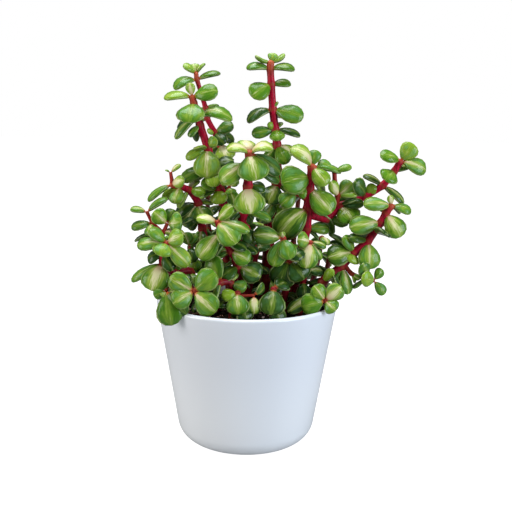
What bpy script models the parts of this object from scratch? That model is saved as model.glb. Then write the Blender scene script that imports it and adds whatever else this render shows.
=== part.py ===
"""A potted elephant bush: fleshy leafy stems standing in potting mix in a white tapered pot.

Blender works in metres, and the sizes below are millimetres, which MM turns into metres.
+Z is up, the middle of the pot's base is the origin and -Y is the front.
"""

import math
import random

import bmesh
import bpy
from mathutils import Matrix, Vector
from mathutils.bvhtree import BVHTree

MM = 0.001
CLEARANCE = 0.3
SEED = 7

# The pot: a straight cone with a round bottom edge and a round lip.
POT_RIM_RADIUS = 60.0
POT_CONE_RADIUS_AT_BASE = 44.0
POT_HEIGHT = 95.0
POT_BASE_EDGE_RADIUS = 14.0
POT_WALL = 3.6
POT_FLOOR = 5.0
TURN_STEPS = 36
EDGE_STEPS = 4

# The potting mix, and how deep the stems stand in it. They are upright up to their collar.
MIX_TOP = 88.0
STEM_FOOT = 72.0
STEM_COLLAR = 90.0
HOLE_SIDES = 6

# The front view in which the stems are drawn: an eye this far in front of the pot's axis and
# this high above its base.
EYE_DISTANCE = 464.0
EYE_HEIGHT = 202.0

# A leaf: a fleshy blade, widest past its middle, with a round tip. Its upper side is turned
# from the stem's direction towards the front by its face share, and its arch is a share of
# its length. Its root starts this far out of the stem's middle.
LEAF_SIDES = 4
LEAF_RINGS = 3
LEAF_THICKNESS = 3.0
FULL_THICKNESS_LENGTH = 12.0
LEAF_FACE = 0.3
LEAF_ARCH = 0.08
OUTLINE_RISE = 0.9
OUTLINE_FALL = 0.5
ROOT_OFFSET = 0.8
TOWARDS_FRONT = Vector((0, -1, 0.25))

# The leaf opposite a single drawn one.
PARTNER_LENGTH_SHARE = 0.9
PARTNER_WIDTH_SHARE = 0.85
PARTNER_FACE = 0.1

# A leaf that would cross something is bent forward or back by these amounts, or is smaller.
# It is tested a little wider and thicker than it is.
BENDS = (0, 2, -2, 4, -4, 6, -6, 9, -9)
SIZES = (1.0, 0.88, 0.76, 0.64)
SWELL_WIDTH = 1.04
SWELL_THICKNESS = 1.3
NEAR_SHARE = 0.75

# A side shoot's radii as a share of its main stem's. A shoot of few joints is a thin twig. A
# stem goes on this far past its last joint.
SHOOT_SHARE = 0.75
TWIG_SHARE = 0.5
TWIG_JOINTS = 4
STEM_END = 1.6

# The stems and their joints, drawn in the front view. A joint is its x, its z, how far back
# it lies, and its leaves. A leaf is its tip's x and z, how far it comes forward from its
# joint, its width, and where they differ from the usual its face share and its arch. Where a
# stem has "dense", leaves fill it up to that height.
STEMS = {
    "stem_low_centre": {
        "foot": (-2, -42),
        "radii": (2, 1.6),
        "shoots": [
            [
                (-6.5, 98.5, -41, [(-6, 83, 7, 14.5, 0.85), (-17, 95, 2, 8.5, 0.85)]),
            ],
            [
                (-6, 96, -41, []),
                (4.5, 96.5, -39, [(4.5, 83.5, 5, 10, 0.85), (11, 104, -6, 9)]),
            ],
        ],
    },
    "stem_low_front": {
        "foot": (16, -30),
        "radii": (2.4, 1.7),
        "shoots": [
            [
                (17.5, 101.5, -35, [(16, 83.5, 9, 17, 0.85), (26, 105, -8, 12, 0.5)]),
            ],
        ],
    },
    "stem_low_left": {
        "foot": (-9, -32),
        "radii": (2.5, 1.7),
        "shoots": [
            [
                (-11, 104.5, -33, [(-0.5, 101, 3, 9, 0.7), (-10, 112, -6, 9, 0.2)]),
                (-17.5, 105, -36, [(-24, 123, -4, 13, 0.6)]),
                (-26, 101, -40, []),
                (-35.5, 99, -43, [
                    (-51.5, 108.5, 1, 13, 0.8), (-21, 111.5, 2, 14.5, 0.8), (-49.5, 90, 5, 13.5, 0.8),
                    (-20.7, 84.8, 6, 15.5, 0.8),
                ]),
            ],
        ],
    },
    "stem_low_right": {
        "foot": (41, -24),
        "radii": (2.2, 1.6),
        "shoots": [
            [
                (46, 97, -28, [(27, 85.3, 4, 9.5, 0.5), (55, 101, -8, 9)]),
                (52, 93.5, -34, [
                    (44, 103.5, 1, 10.5, 0.8), (62.5, 103.5, 1, 12, 0.8), (36.5, 88.3, 6, 14.5, 0.8),
                    (59.5, 86.5, 5, 10.5, 0.85),
                ]),
            ],
        ],
    },
    "stem_left_front": {
        "foot": (-2, -26),
        "radii": (2.3, 1.6),
        "shoots": [
            [
                (-6, 116, -27, [(9, 109, 5, 15, 0.8), (-17, 108.5, 3, 11, 0.6)]),
                (-11.5, 126, -29, [(1.5, 119.5, 4, 12, 0.7), (-22, 122, -6, 11)]),
                (-18, 138, -31, [(-32, 120.5, 4, 14, 0.8)]),
                (-20, 145.5, -32, [
                    (-34, 147.5, 2, 9, 0.45), (-9.5, 156, 3, 9.5, 0.6), (-7.5, 131.3, 9, 15.5, 0.75),
                    (1, 140.5, -2, 9, 0.5),
                ]),
            ],
        ],
    },
    "stem_front": {
        "foot": (-5, -13),
        "radii": (3.2, 2.7),
        "shoots": [
            [
                (-7, 120, -18, [(3, 113, 3, 11, 0.6)]),
                (-5, 142, -23, [(3.5, 132, 3, 11, 0.6)]),
                (-2.5, 153, -25, [(15, 147, 3, 8, 0.4), (-12, 147, -3, 11), (2.5, 145.5, -5, 9, 0.6)]),
                (-0.5, 169, -28, [(1.5, 151, 8, 20, 0.85), (11, 167.5, -3, 9, 0.6)]),
                (0, 183.5, -28, [(-18.5, 171.5, 3, 15.5, 0.6), (20, 172, -3, 13, 0.5)]),
                (0.5, 190, -28, [
                    (-14.5, 192, 5, 14.5, 0.3, 0.2), (15.5, 193, 4, 15, 0.35, 0.25),
                    (4.5, 172.5, 10, 20, 0.75), (-3, 198, -12, 12, 0.1), (20.5, 177, -3, 13, 0.6),
                ]),
            ],
        ],
    },
    "stem_left_low": {
        "foot": (-29, -14),
        "radii": (3, 2),
        "shoots": [
            [
                (-38, 112, -19, [(-44, 103, 7, 12, 0.5), (-36, 103.5, 6, 9, 0.7)]),
                (-48, 111, -25, [(-45, 120, -3, 10, 0.5), (-41, 105, 4, 9, 0.3)]),
                (-56, 117.5, -29, [(-63.7, 98.7, 9, 19, 0.8), (-77, 105, 1, 8, 0.4)]),
                (-56, 124, -30, [(-66, 119.5, -2, 10, 0.5), (-49.5, 112.5, 6, 9, 0.6)]),
                (-53.5, 131, -31, [
                    (-42.5, 136.5, 3, 12, 0.75), (-73, 129, 2, 11, 0.5), (-58, 122.3, 9, 13, 0.8),
                    (-38.8, 115.7, 5, 11.5, 0.8), (-65, 140, 2, 10, 0.5),
                ]),
            ],
            [
                (-54.5, 129, -30, []),
                (-57, 138.5, -26, [(-74.5, 131.8, -1, 8, 0.3), (-41, 136, -3, 12, 0.5)]),
                (-62.5, 144, -24, [(-76.5, 140.5, 2, 9, 0.55), (-65, 133.8, 4, 10, 0.7)]),
                (-66, 151.3, -23, [(-77, 153, 1, 7, 0.4), (-52.5, 160.5, -2, 8, 0.4)]),
            ],
            [
                (-56.5, 136, -27, []),
                (-53, 143.5, -25, [
                    (-61.8, 151.8, 4, 11, 0.9), (-43, 145, 3, 14, 0.9), (-49, 153.5, -5, 9),
                ]),
            ],
            [
                (-48, 111, -25, []),
                (-52, 104.5, -32, []),
                (-54, 99, -39, [
                    (-62.3, 95.3, 1, 7, 0.6), (-56, 94.5, 3, 5, 0.5), (-50.2, 75, 8, 16.5, 0.8),
                    (-39.5, 84.7, 1, 12, 0.6),
                ]),
            ],
        ],
    },
    "stem_inner_right": {
        "foot": (23, -14),
        "radii": (2.7, 1.7),
        "shoots": [
            [
                (27, 110, -18, []),
                (28, 121, -21, [(20.5, 102.3, 6, 18, 0.7), (37.5, 107.5, 4, 17, 0.7)]),
                (23, 135.3, -25, [
                    (3.3, 137.5, 2, 12.5, 0.9), (17, 116, 5, 12, 0.8), (28, 121, 9, 12, 0.8),
                    (22.5, 139.5, 4, 4, 0.9),
                ]),
            ],
        ],
    },
    "stem_inner_far": {
        "foot": (34, -12),
        "radii": (2.4, 1.6),
        "shoots": [
            [
                (38, 113, -17, [(50, 113, -2, 12), (28, 112, -8, 11)]),
                (41, 133, -22, [
                    (32.5, 135, 5, 11, 0.95), (38.5, 115, 6, 14, 0.8), (51.7, 129.3, 1, 7, 0.35),
                    (48.7, 121, 2, 6, 0.4),
                ]),
            ],
        ],
    },
    "stem_left": {
        "foot": (-2, 0),
        "radii": (3.5, 2),
        "dense": 190,
        "shoots": [
            [
                (4, 125, -4, [(-6, 118, 6, 12, 0.5), (13, 132, -8, 11)]),
                (-6, 151, -5, [(-15, 143, 4, 11, 0.5), (3, 158, -6, 10), (-12, 166, 3, 9, 0.6)]),
                (-19, 167, -4, [(-19, 157, 7, 12, 0.7), (-31, 171, 4, 10, 0.6), (-30, 163, 0, 9, 0.4)]),
                (-24, 181, -2, [
                    (-44, 172, 4, 11, 0.7), (-9.5, 185, -2, 12, 0.6), (-21.5, 168.5, 7, 11, 0.7),
                    (-37, 173.5, 0, 12, 0.6), (-15.5, 171, 5, 12, 0.6),
                ]),
                (-26.5, 193, 0, [
                    (-40.7, 186, 2, 8, 0.7), (-35, 192.5, 7, 9, 0.1), (-21, 199.5, 3, 8, 0.8),
                    (-27, 174, 9, 18, 0.8),
                ]),
                (-31.5, 207.5, 2, [(-38.5, 200, 6, 6.5, 0.5), (-34.5, 197.5, -5, 7, 0.6)]),
                (-33, 213, 2, [
                    (-10.7, 211, 4, 12.5, 0.5, 0.25), (-47.5, 198.5, 3, 9, 0.4), (-46, 206, -6, 9, 0.4),
                ]),
                (-35.5, 221.5, 2, [(-38.5, 208.8, 13, 19, 0.7), (-33, 214, -9, 7, 0.2)]),
                (-36.5, 225.2, 2, [
                    (-54.7, 224.2, 1, 12, 0.4, 0.1), (-20, 229, 4, 12.5, 0.8),
                    (-38.3, 234, 2, 6.5, 0.8),
                ]),
            ],
            [
                (-14.5, 161, -5, []),
                (-12.5, 168.5, -10, [
                    (-7.5, 173, 2, 6.5, 0.7), (-16.5, 173.5, 1, 7, 0.7), (-11, 163.5, 3, 7.5, 0.8),
                ]),
            ],
        ],
    },
    "stem_right": {
        "foot": (28, 2),
        "radii": (3.5, 2.8),
        "shoots": [
            [
                (34, 117, -3, [(24, 122, -8, 12), (45, 120, -6, 12)]),
                (38, 142, -7, [(45, 136, -8, 11), (53.5, 141.5, -3, 10, 0.6)]),
                (39, 155, -8, [(18.5, 136, 8, 20, 0.75, 0.2)]),
                (39.5, 168, -8, [(54.3, 152, 8, 17, 0.8)]),
                (40.5, 175, -8, [(21, 171.5, 8, 20.5, 0.85), (50, 164, -6, 13, 0.5)]),
                (41, 182, -8, [
                    (26.5, 193.8, 4, 13.5, 0.6, 0.22), (60, 178.5, -2, 8, 0.35, 0.1),
                    (50.5, 170, 8, 12, 0.8), (43, 193, -3, 9, 0.7),
                ]),
            ],
            [
                (40, 151, -7, []),
                (51.5, 148.5, -5, [(66, 145.5, 2, 8, 0.2)]),
                (60, 157, -3, [
                    (68.5, 146.8, 7, 17, 0.85), (75.5, 158.5, 5, 9, 0.6), (71, 161.5, 7, 6.5, 0.5),
                ]),
                (68, 160.3, -2.5, [(57.5, 161, 5, 7, 0.6), (72, 168, -3, 8, 0.3)]),
                (76, 163.5, -2, [(68.5, 173.5, 9, 11.5, 0.8), (82.5, 171, 1, 8, 0.8)]),
                (87, 170.5, -2, [(74, 177, -2, 10, 0.3), (101.5, 158.7, 3, 9, 0.45)]),
                (94, 179.5, -2, [(88.5, 174, 12, 13.5, 0.35), (103, 183.7, -6, 7, 0.2)]),
                (98, 186.5, -2, [
                    (106.3, 197.6, 2, 12.5, 0.85), (84.5, 190.4, 4, 11, 0.6),
                    (115, 180, 2, 12, 0.8, 0.15),
                ]),
            ],
            [
                (56.5, 154.5, -3, []),
                (58, 163, -6, [
                    (53.2, 173, 5, 8, 0.8), (68, 172, -1, 12, 0.7), (71.5, 164.5, 4, 7, 0.3),
                ]),
                (56, 172, -8, []),
                (55.5, 179, -7, [(66.7, 182.5, 1, 6.5, 0.6), (44.7, 185.3, -1, 9.5, 0.6)]),
            ],
            [
                (39.3, 160, -8, []),
                (31, 165, -12, [(21, 157, 4, 11.5, 0.9), (38, 164.5, 2, 7.5, 0.6)]),
            ],
        ],
    },
    "stem_far_right": {
        "foot": (44, -14),
        "radii": (3.2, 2.1),
        "shoots": [
            [
                (50, 106, -20, [(43, 106, -10, 12), (57, 114.7, 5, 7, 0.6)]),
                (62, 116.7, -17, [(67, 97.7, 7, 10, 0.6), (59.5, 103, 4, 9, 0.6)]),
                (70, 126, -15, [
                    (62.7, 137.3, 2, 9, 0.7), (69, 118.8, 6, 10, 0.6), (52.5, 122.3, 5, 15.5, 0.6),
                    (53, 138.5, -7, 9, 0.3), (54, 133.5, -6, 9, 0.4),
                ]),
                (79, 134, -14, [(80.7, 115, 7, 15, 0.9), (65.5, 136.5, 1, 8, 0.5)]),
                (87, 146.3, -12, [(66.3, 142.7, 5, 14, 0.7), (94, 141, -9, 8, 0.3)]),
                (90, 152.5, -12, [(100.6, 136.8, 6, 14.5, 0.9), (80, 158.5, -12, 8)]),
                (93.5, 157.5, -12, [
                    (92, 164.5, 2, 5, 0.9), (75, 158, 4, 11, 0.6), (106.7, 153.5, 1, 10, 0.5),
                    (98, 153.5, -8, 8),
                ]),
            ],
            [
                (64, 118, -17, []),
                (69, 112, -19, [(75, 108.5, 2, 4.5, 0.4)]),
                (78, 109, -20, [(75.5, 120, 2, 10, 0.7)]),
                (84, 107.5, -20, [
                    (74.7, 110.7, 3, 10.5, 0.8), (89, 115.7, -2, 7, 0.8), (91.5, 98, 3, 8, 0.7),
                ]),
            ],
        ],
    },
    "stem_left_side": {
        "foot": (-20, -2),
        "radii": (3.1, 1.8),
        "shoots": [
            [
                (-26, 120, -6, [(-36, 112, 6, 11, 0.5), (-17, 126, -6, 11)]),
                (-30, 141, -8, [(-24, 132, -10, 12)]),
                (-32.5, 157.5, -8, [
                    (-42, 142, 1, 13, 0.6), (-24, 158, -6, 11), (-29, 144.7, 5, 15.5, 0.8),
                    (-47.5, 149.5, -2, 11, 0.6), (-37.8, 139.5, -3, 9, 0.6),
                ]),
                (-38.5, 166, -8, [(-45.7, 154, 4, 7, 0.4), (-33, 172, -6, 10), (-28, 164, 3, 9, 0.5)]),
                (-44, 168, -9, [(-47.8, 156.8, 6, 11, 0.7), (-56, 160, -3, 7, 0.7)]),
                (-50, 169.5, -10, [(-65.5, 158.3, 1, 8, 0.25, 0.08), (-41.5, 172, 5, 9, 0.6)]),
            ],
            [
                (-49.3, 169.5, -10, []),
                (-50.5, 177, -10, [(-43.8, 182.3, 1, 4.5, 0.5), (-54, 178.8, -1, 3, 0)]),
            ],
            [
                (-28, 124, -7, []),
                (-36.5, 123, -12, [(-33.5, 113, 3, 10, 0.6)]),
                (-38.5, 129, -14, [
                    (-41, 138.5, 2, 9, 0.6), (-33.5, 137.5, 0, 7, 0.5), (-36, 118, 5, 9, 0.7),
                ]),
            ],
        ],
    },
    "stem_tall": {
        "foot": (11, 8),
        "radii": (3.5, 2.2),
        "dense": 190,
        "shoots": [
            [
                (12, 108, 6, []),
                (15, 138, 8, [(3, 131, 0, 11), (27, 144, -4, 11)]),
                (17.5, 159, 8, [(11, 148, 10, 9, 0.5), (24, 150, 6, 10, 0.4)]),
                (18, 171, 8, [(13.3, 157.3, 10, 15.5, 0.8), (29, 162, -4, 11)]),
                (18.5, 180, 8, [(10, 176, 4, 10, 0.5)]),
                (18, 195.5, 8, [
                    (24.2, 183.5, 9, 10.5, 0.9), (28.3, 189.5, 3, 10.5, 0.65), (11, 184.5, 1, 9, 0.6),
                    (12, 194, -12, 10, 0.2),
                ]),
                (16.7, 205.2, 8, [
                    (1.5, 202.3, 1, 8.5, 0.95), (33, 201.6, -1, 10, 0.35), (18.8, 198.5, 9, 10.5, 0.7),
                    (11.8, 209.5, 3, 5, 0.9), (21, 210, -5, 4.5, 0.3),
                ]),
                (14.9, 218, 8, [
                    (-1.5, 209.8, 1, 12, 0.45, 0.16), (34.6, 213, 5, 13.2, 0.85),
                    (18.3, 223, 2, 3, 0.5), (20, 213, -12, 11),
                ]),
                (13.6, 233.6, 8, [(0.8, 226, 8, 14, 0.85), (26.2, 234.2, -2, 9, 0.5)]),
                (12.8, 243.2, 8, [(-2.5, 243.5, 1, 11, 0.4, 0.12), (28.5, 243, 1, 11, 0.4, 0.12)]),
                (12.9, 247, 8, [
                    (3.1, 251.2, 3, 6, 0.1, -0.1), (21.8, 252.6, -2, 6, 0.25, -0.1),
                    (15, 253, -2, 7, 0.6),
                ]),
            ],
        ],
    },
    "stem_left_back": {
        "foot": (-12, 20),
        "radii": (2.8, 1.4),
        "dense": 190,
        "shoots": [
            [
                (-14, 120, 24, [(-27, 116, 2, 12), (-3, 124, -2, 12)]),
                (-17, 150, 24, [(-14, 140, -14, 12), (-20, 142, 12, 12)]),
                (-18, 176, 24, [(-30, 170, 2, 12), (-6, 171, -2, 12)]),
                (-18.2, 195.5, 24, [(-13.5, 185.5, 9, 14.5, 0.75), (-24, 188, -11, 12)]),
                (-22, 203, 24, [
                    (-10, 208, 2, 10.5, 0.7), (-16, 195.5, 7, 10, 0.7), (-9.5, 197.5, -3, 9, 0.6),
                    (-26.8, 203.6, 4, 6, 0.7),
                ]),
                (-27, 212, 24, [(-33, 208, -4, 6, 0.2), (-22, 214.5, -4, 6, 0.2)]),
                (-28, 218.5, 24, [(-19.5, 220, -3, 7, 0.1), (-34, 216, -3, 6, 0.2)]),
                (-33.5, 236, 24, [(-48.3, 230, 4, 12, 0.5, 0.18), (-18.5, 240.2, -2, 10, 0.33, 0.08)]),
                (-34, 239.5, 24, [
                    (-42.3, 245, 3, 8, 0.5), (-28.3, 246, -2, 5, 0.1), (-36, 245.6, -3, 8, 0.5),
                ]),
            ],
        ],
    },
}

# Stems at the back and sides, which grow by rule: foot, lean, number of joints.
GROWN_STEMS = {
    "stem_back_left": ((-25, 31), (-0.1, 0.4), 6),
    "stem_back": ((2, 42), (0.0, 0.3), 5),
    "stem_back_right": ((27, 32), (0.2, 0.4), 6),
    "stem_behind_middle": ((11, 27), (0.05, 0.2), 5),
    "stem_side_right": ((48, 6), (0.3, 0.2), 3),
    "stem_back_side_right": ((43, 22), (0.3, 0.35), 4),
    "stem_side_left": ((-47, 4), (-0.35, 0.1), 3),
    "stem_back_side_left": ((-41, 20), (-0.3, 0.35), 4),
}
GROWN_RADII = (2.4, 1.6)
JOINT_SPACING = 12.0
JOINT_SPACING_VARIES = 0.15
STRAIGHTENS = 0.12

# The leaves that grow by rule: longest at the foot of a stem, drooping more or less.
GROWN_LEAF_LENGTH = 17.0
GROWN_LEAF_SHORTENS = 0.45
GROWN_LEAF_WIDTHS = (0.76, 0.9)
GROWN_LEAF_FACE = 0.1
DROOPS = (-0.9, 0.1)

# Pairs of leaves that fill the bare stretches of the drawn stems, up to this height unless a
# stem says otherwise.
BARE_STRETCH = 13.0
DENSE_BELOW = 160.0
FILLING_LEAF_LENGTH = 14.0

SHARP_ANGLE = 50.0
LEAF_GREENS = ((0.10, 0.30, 0.05), (0.13, 0.34, 0.06), (0.08, 0.25, 0.06))
LEAF_ROUGHNESS = 0.3
LEAF_COAT = 0.2
GLAZE_WHITE = (0.80, 0.82, 0.85)
GLAZE_ROUGHNESS = 0.12
GLAZE_COAT = 0.5
MIX_BROWN = (0.035, 0.025, 0.018)
MIX_ROUGHNESS = 0.95


class Plan:
    """A stem's lines of points, its leaves at each joint, and its radii at foot and tip."""

    def __init__(self, lines, drawn, filling, radii):
        self.lines = lines
        self.drawn = drawn
        self.filling = filling
        self.radii = radii


class Leaf:
    """A blade from its root in the stem to its tip, in millimetres."""

    def __init__(self, root, tip, width, stem_direction, face=LEAF_FACE, arch=LEAF_ARCH):
        self.root = root
        self.tip = tip
        self.width = width
        self.stem_direction = stem_direction
        self.face = face
        self.arch = arch

    def changed(self, bend, size):
        """The same leaf, smaller and with its tip bent forward."""
        tip = self.root + (self.tip - self.root) * size
        tip.y -= bend
        return Leaf(self.root, tip, self.width * size, self.stem_direction, self.face, self.arch)

    def length(self):
        return (self.tip - self.root).length

    def middle(self):
        return (self.root + self.tip) / 2

    def directions(self):
        """The directions along the leaf, across it and out of its upper side."""
        along = (self.tip - self.root).normalized()
        upper = self.stem_direction.lerp(TOWARDS_FRONT.normalized(), self.face)
        upper = (upper - along * upper.dot(along)).normalized()
        return along, along.cross(upper), upper


def outline(share):
    """A leaf's half width at a share of its length, where its widest place is 1."""
    peak = OUTLINE_RISE / (OUTLINE_RISE + OUTLINE_FALL)
    widest = peak**OUTLINE_RISE * (1 - peak) ** OUTLINE_FALL
    return share**OUTLINE_RISE * max(1 - share, 0) ** OUTLINE_FALL / widest


def leaf_mesh(leaf, swell_width=1.0, swell_thickness=1.0):
    """A sphere reshaped to the leaf, pole to pole from its root to its tip."""
    along, across, upper = leaf.directions()
    thickness = LEAF_THICKNESS * min(1, leaf.length() / FULL_THICKNESS_LENGTH)
    half_width = leaf.width / 2 * swell_width
    half_thickness = thickness / 2 * swell_thickness
    length = leaf.length() - ROOT_OFFSET
    root = leaf.root + along * ROOT_OFFSET
    mesh = bmesh.new()
    bmesh.ops.create_uvsphere(mesh, u_segments=LEAF_SIDES, v_segments=LEAF_RINGS, radius=1)
    for vertex in mesh.verts:
        x, y, z = vertex.co
        share = (1 + z) / 2
        ring = max(math.hypot(x, y), 1e-6)
        reach = half_width * outline(share) * x / ring
        rise = half_thickness * math.sqrt(max(1 - z**4, 0)) * y / ring
        rise += leaf.arch * length * 4 * share * (1 - share)
        vertex.co = root + along * length * share + across * reach + upper * rise
    return mesh


def placed(x, z, back):
    """The point that shows at x, z in the front view and lies this far back."""
    nearness = (EYE_DISTANCE + back) / EYE_DISTANCE
    return Vector((x * nearness, back, EYE_HEIGHT + (z - EYE_HEIGHT) * nearness))


def direction(points, index):
    """The way a shoot grows at one of its points."""
    before = points[max(index - 1, 0)]
    after = points[index] if index > 0 else points[1]
    return (after - before).normalized()


def partner(leaf):
    """The leaf opposite a single one, a little smaller and lying flat."""
    way = leaf.stem_direction
    reach = leaf.tip - leaf.root
    up_the_stem = way * reach.dot(way)
    tip = leaf.root + up_the_stem - (reach - up_the_stem) * PARTNER_LENGTH_SHARE
    return Leaf(leaf.root, tip, leaf.width * PARTNER_WIDTH_SHARE, way, PARTNER_FACE, leaf.arch)


def drawn_leaves(joint, root, way):
    """The leaves of a drawn joint. A single leaf has its partner on the stem's other side."""
    back = joint[2]
    leaves = []
    for x, z, forward, width, *turns in joint[3]:
        leaves.append(Leaf(root, placed(x, z, back - forward), width, way, *turns))
    if len(leaves) == 1:
        leaves.append(partner(leaves[0]))
    return leaves


def pair_across(root, way, turn, length, chance):
    """Two opposite leaves that stand out from a stem and droop."""
    side = way.orthogonal().normalized()
    side.rotate(Matrix.Rotation(turn, 3, way))
    pair = []
    for sign in (1, -1):
        reach = (side * sign + way * chance.uniform(*DROOPS)).normalized() * length
        width = length * chance.uniform(*GROWN_LEAF_WIDTHS)
        pair.append(Leaf(root, root + reach, width, way, GROWN_LEAF_FACE))
    return pair


def filling_pairs(points, dense_below, chance):
    """Pairs of leaves on the bare stretches of a stem, up to a height."""
    pairs = []
    for start, end in zip(points, points[1:]):
        stretch = end - start
        count = int(stretch.length / BARE_STRETCH)
        for number in range(count):
            root = start + stretch * (number + 0.5) / count
            if root.z < dense_below:
                turn = chance.uniform(0, math.pi)
                way = stretch.normalized()
                pairs.append(pair_across(root, way, turn, FILLING_LEAF_LENGTH, chance))
    return pairs


def upright_foot(foot):
    """A stem's first two points: deep in the mix, and at its collar."""
    return [Vector((*foot, STEM_FOOT)), Vector((*foot, STEM_COLLAR))]


def drawn_stem(stem, chance):
    """The points of a drawn stem's shoots, its drawn leaves, and those that fill it."""
    lines = []
    drawn = []
    for number, shoot in enumerate(stem["shoots"]):
        points = [placed(*joint[:3]) for joint in shoot]
        if number == 0:
            points = upright_foot(stem["foot"]) + points
        lines.append(points)
        first = len(points) - len(shoot)
        for index, joint in enumerate(shoot):
            place = first + index
            drawn.append(drawn_leaves(joint, points[place], direction(points, place)))
    filling = filling_pairs(lines[0][1:], stem.get("dense", DENSE_BELOW), chance)
    return Plan(lines, drawn, filling, stem["radii"])


def grown_stem(foot, lean, count, chance):
    """A stem that grows by rule: each pair of leaves is turned a quarter from the last."""
    points = upright_foot(foot)
    joints = []
    way = Vector((*lean, 1)).normalized()
    turn = chance.uniform(0, math.pi)
    for number in range(count):
        way = (way + Vector((0, 0, STRAIGHTENS))).normalized()
        spacing = JOINT_SPACING * chance.uniform(1 - JOINT_SPACING_VARIES, 1 + JOINT_SPACING_VARIES)
        points.append(points[-1] + way * spacing)
        length = GROWN_LEAF_LENGTH * (1 - GROWN_LEAF_SHORTENS * number / count)
        joints.append(pair_across(points[-1], way, turn + number * math.pi / 2, length, chance))
    return Plan([points], [], joints, GROWN_RADII)


def stem_plans():
    chance = random.Random(SEED)
    plans = {name: drawn_stem(stem, chance) for name, stem in STEMS.items()}
    for name, (foot, lean, count) in GROWN_STEMS.items():
        plans[name] = grown_stem(foot, lean, count, chance)
    return plans


def new_collection(name):
    collection = bpy.data.collections.new(name)
    bpy.context.scene.collection.children.link(collection)
    return collection


def linked(obj, collection):
    collection.objects.link(obj)
    return obj


def finish(name, colour, roughness, coat=0.0):
    """A Principled material."""
    material = bpy.data.materials.new(name)
    material.use_nodes = True
    shader = material.node_tree.nodes["Principled BSDF"]
    shader.inputs["Base Color"].default_value = (*colour, 1)
    shader.inputs["Roughness"].default_value = roughness
    shader.inputs["Coat Weight"].default_value = coat
    material.diffuse_color = (*colour, 1)
    return material


def evaluated_mesh(obj):
    bpy.context.view_layer.update()
    return bpy.data.meshes.new_from_object(obj.evaluated_get(bpy.context.evaluated_depsgraph_get()))


def tube(name, points, start_radius, end_radius, collection):
    """A tapering stem along points in millimetres and a little past them, as a closed mesh."""
    points = points + [points[-1] + (points[-1] - points[-2]).normalized() * STEM_END]
    curve = bpy.data.curves.new(name + "_guide", "CURVE")
    curve.dimensions = "3D"
    curve.bevel_depth = MM
    curve.bevel_resolution = 1
    curve.use_fill_caps = True
    line = curve.splines.new("POLY")
    line.points.add(len(points) - 1)
    for index, point in enumerate(points):
        line.points[index].co = (*(point * MM), 1)
        share = index / (len(points) - 1)
        line.points[index].radius = start_radius + (end_radius - start_radius) * share
    guide = linked(bpy.data.objects.new(name + "_guide", curve), collection)
    mesh = evaluated_mesh(guide)
    welded = bmesh.new()
    welded.from_mesh(mesh)
    bmesh.ops.remove_doubles(welded, verts=welded.verts, dist=0.01 * MM)
    welded.to_mesh(mesh)
    welded.free()
    stem = linked(bpy.data.objects.new(name, mesh), collection)
    stem.matrix_world = guide.matrix_world
    bpy.data.objects.remove(guide)
    return stem


def arc(centre_x, centre_z, radius, start, end):
    """Points round an arc from one angle to another, in degrees."""
    points = []
    for step in range(EDGE_STEPS + 1):
        angle = math.radians(start + (end - start) * step / EDGE_STEPS)
        points.append((centre_x + radius * math.cos(angle), centre_z + radius * math.sin(angle)))
    return points


def turned(name, profile, collection):
    """A profile of radius and height, in millimetres, turned about the vertical axis."""
    mesh = bpy.data.meshes.new(name)
    vertices = [(radius * MM, 0, height * MM) for radius, height in profile]
    mesh.from_pydata(vertices, [(i, i + 1) for i in range(len(profile) - 1)], [])
    obj = linked(bpy.data.objects.new(name, mesh), collection)
    screw = obj.modifiers.new("Turn", "SCREW")
    screw.steps = screw.render_steps = TURN_STEPS
    screw.use_merge_vertices = True
    screw.merge_threshold = 0.01 * MM
    screw.use_smooth_shade = True
    return obj


def pot_radius(height):
    """The radius of the pot's straight outer side at a height."""
    return POT_CONE_RADIUS_AT_BASE + (POT_RIM_RADIUS - POT_CONE_RADIUS_AT_BASE) * height / POT_HEIGHT


def pot_slope():
    """The angle of the pot's side from level, in degrees."""
    return math.degrees(math.atan2(POT_HEIGHT, POT_RIM_RADIUS - POT_CONE_RADIUS_AT_BASE))


def bottom_arc(inset, start, end):
    """The round between the pot's floor and its side, this far in from the outside."""
    centre_x = POT_CONE_RADIUS_AT_BASE - POT_BASE_EDGE_RADIUS * math.tan(math.radians(pot_slope() / 2))
    return arc(centre_x, POT_BASE_EDGE_RADIUS, POT_BASE_EDGE_RADIUS - inset, start, end)


def pot_profile():
    """The pot's inner floor, inner wall, round lip, outer wall and round bottom edge."""
    slope = pot_slope()
    lip_radius = POT_WALL / 2
    lip_height = POT_HEIGHT - lip_radius
    lip_centre = pot_radius(lip_height) - lip_radius / math.sin(math.radians(slope))
    inner = bottom_arc(POT_FLOOR, -90, slope - 90)
    outer = bottom_arc(0, slope - 90, -90)
    lip = arc(lip_centre, lip_height, lip_radius, slope + 90, slope - 90)
    return [(0, POT_FLOOR)] + inner + lip + outer + [(0, 0)]


def mix_profile():
    """The mix from its flat top down the pot's inner side, a little clear of it."""
    wall = (POT_WALL + CLEARANCE) / math.sin(math.radians(pot_slope()))
    top = [(0, MIX_TOP), (pot_radius(MIX_TOP) - wall, MIX_TOP)]
    bottom = bottom_arc(POT_FLOOR + CLEARANCE, pot_slope() - 90, -90)
    return top + bottom + [(0, POT_FLOOR + CLEARANCE)]


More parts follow.
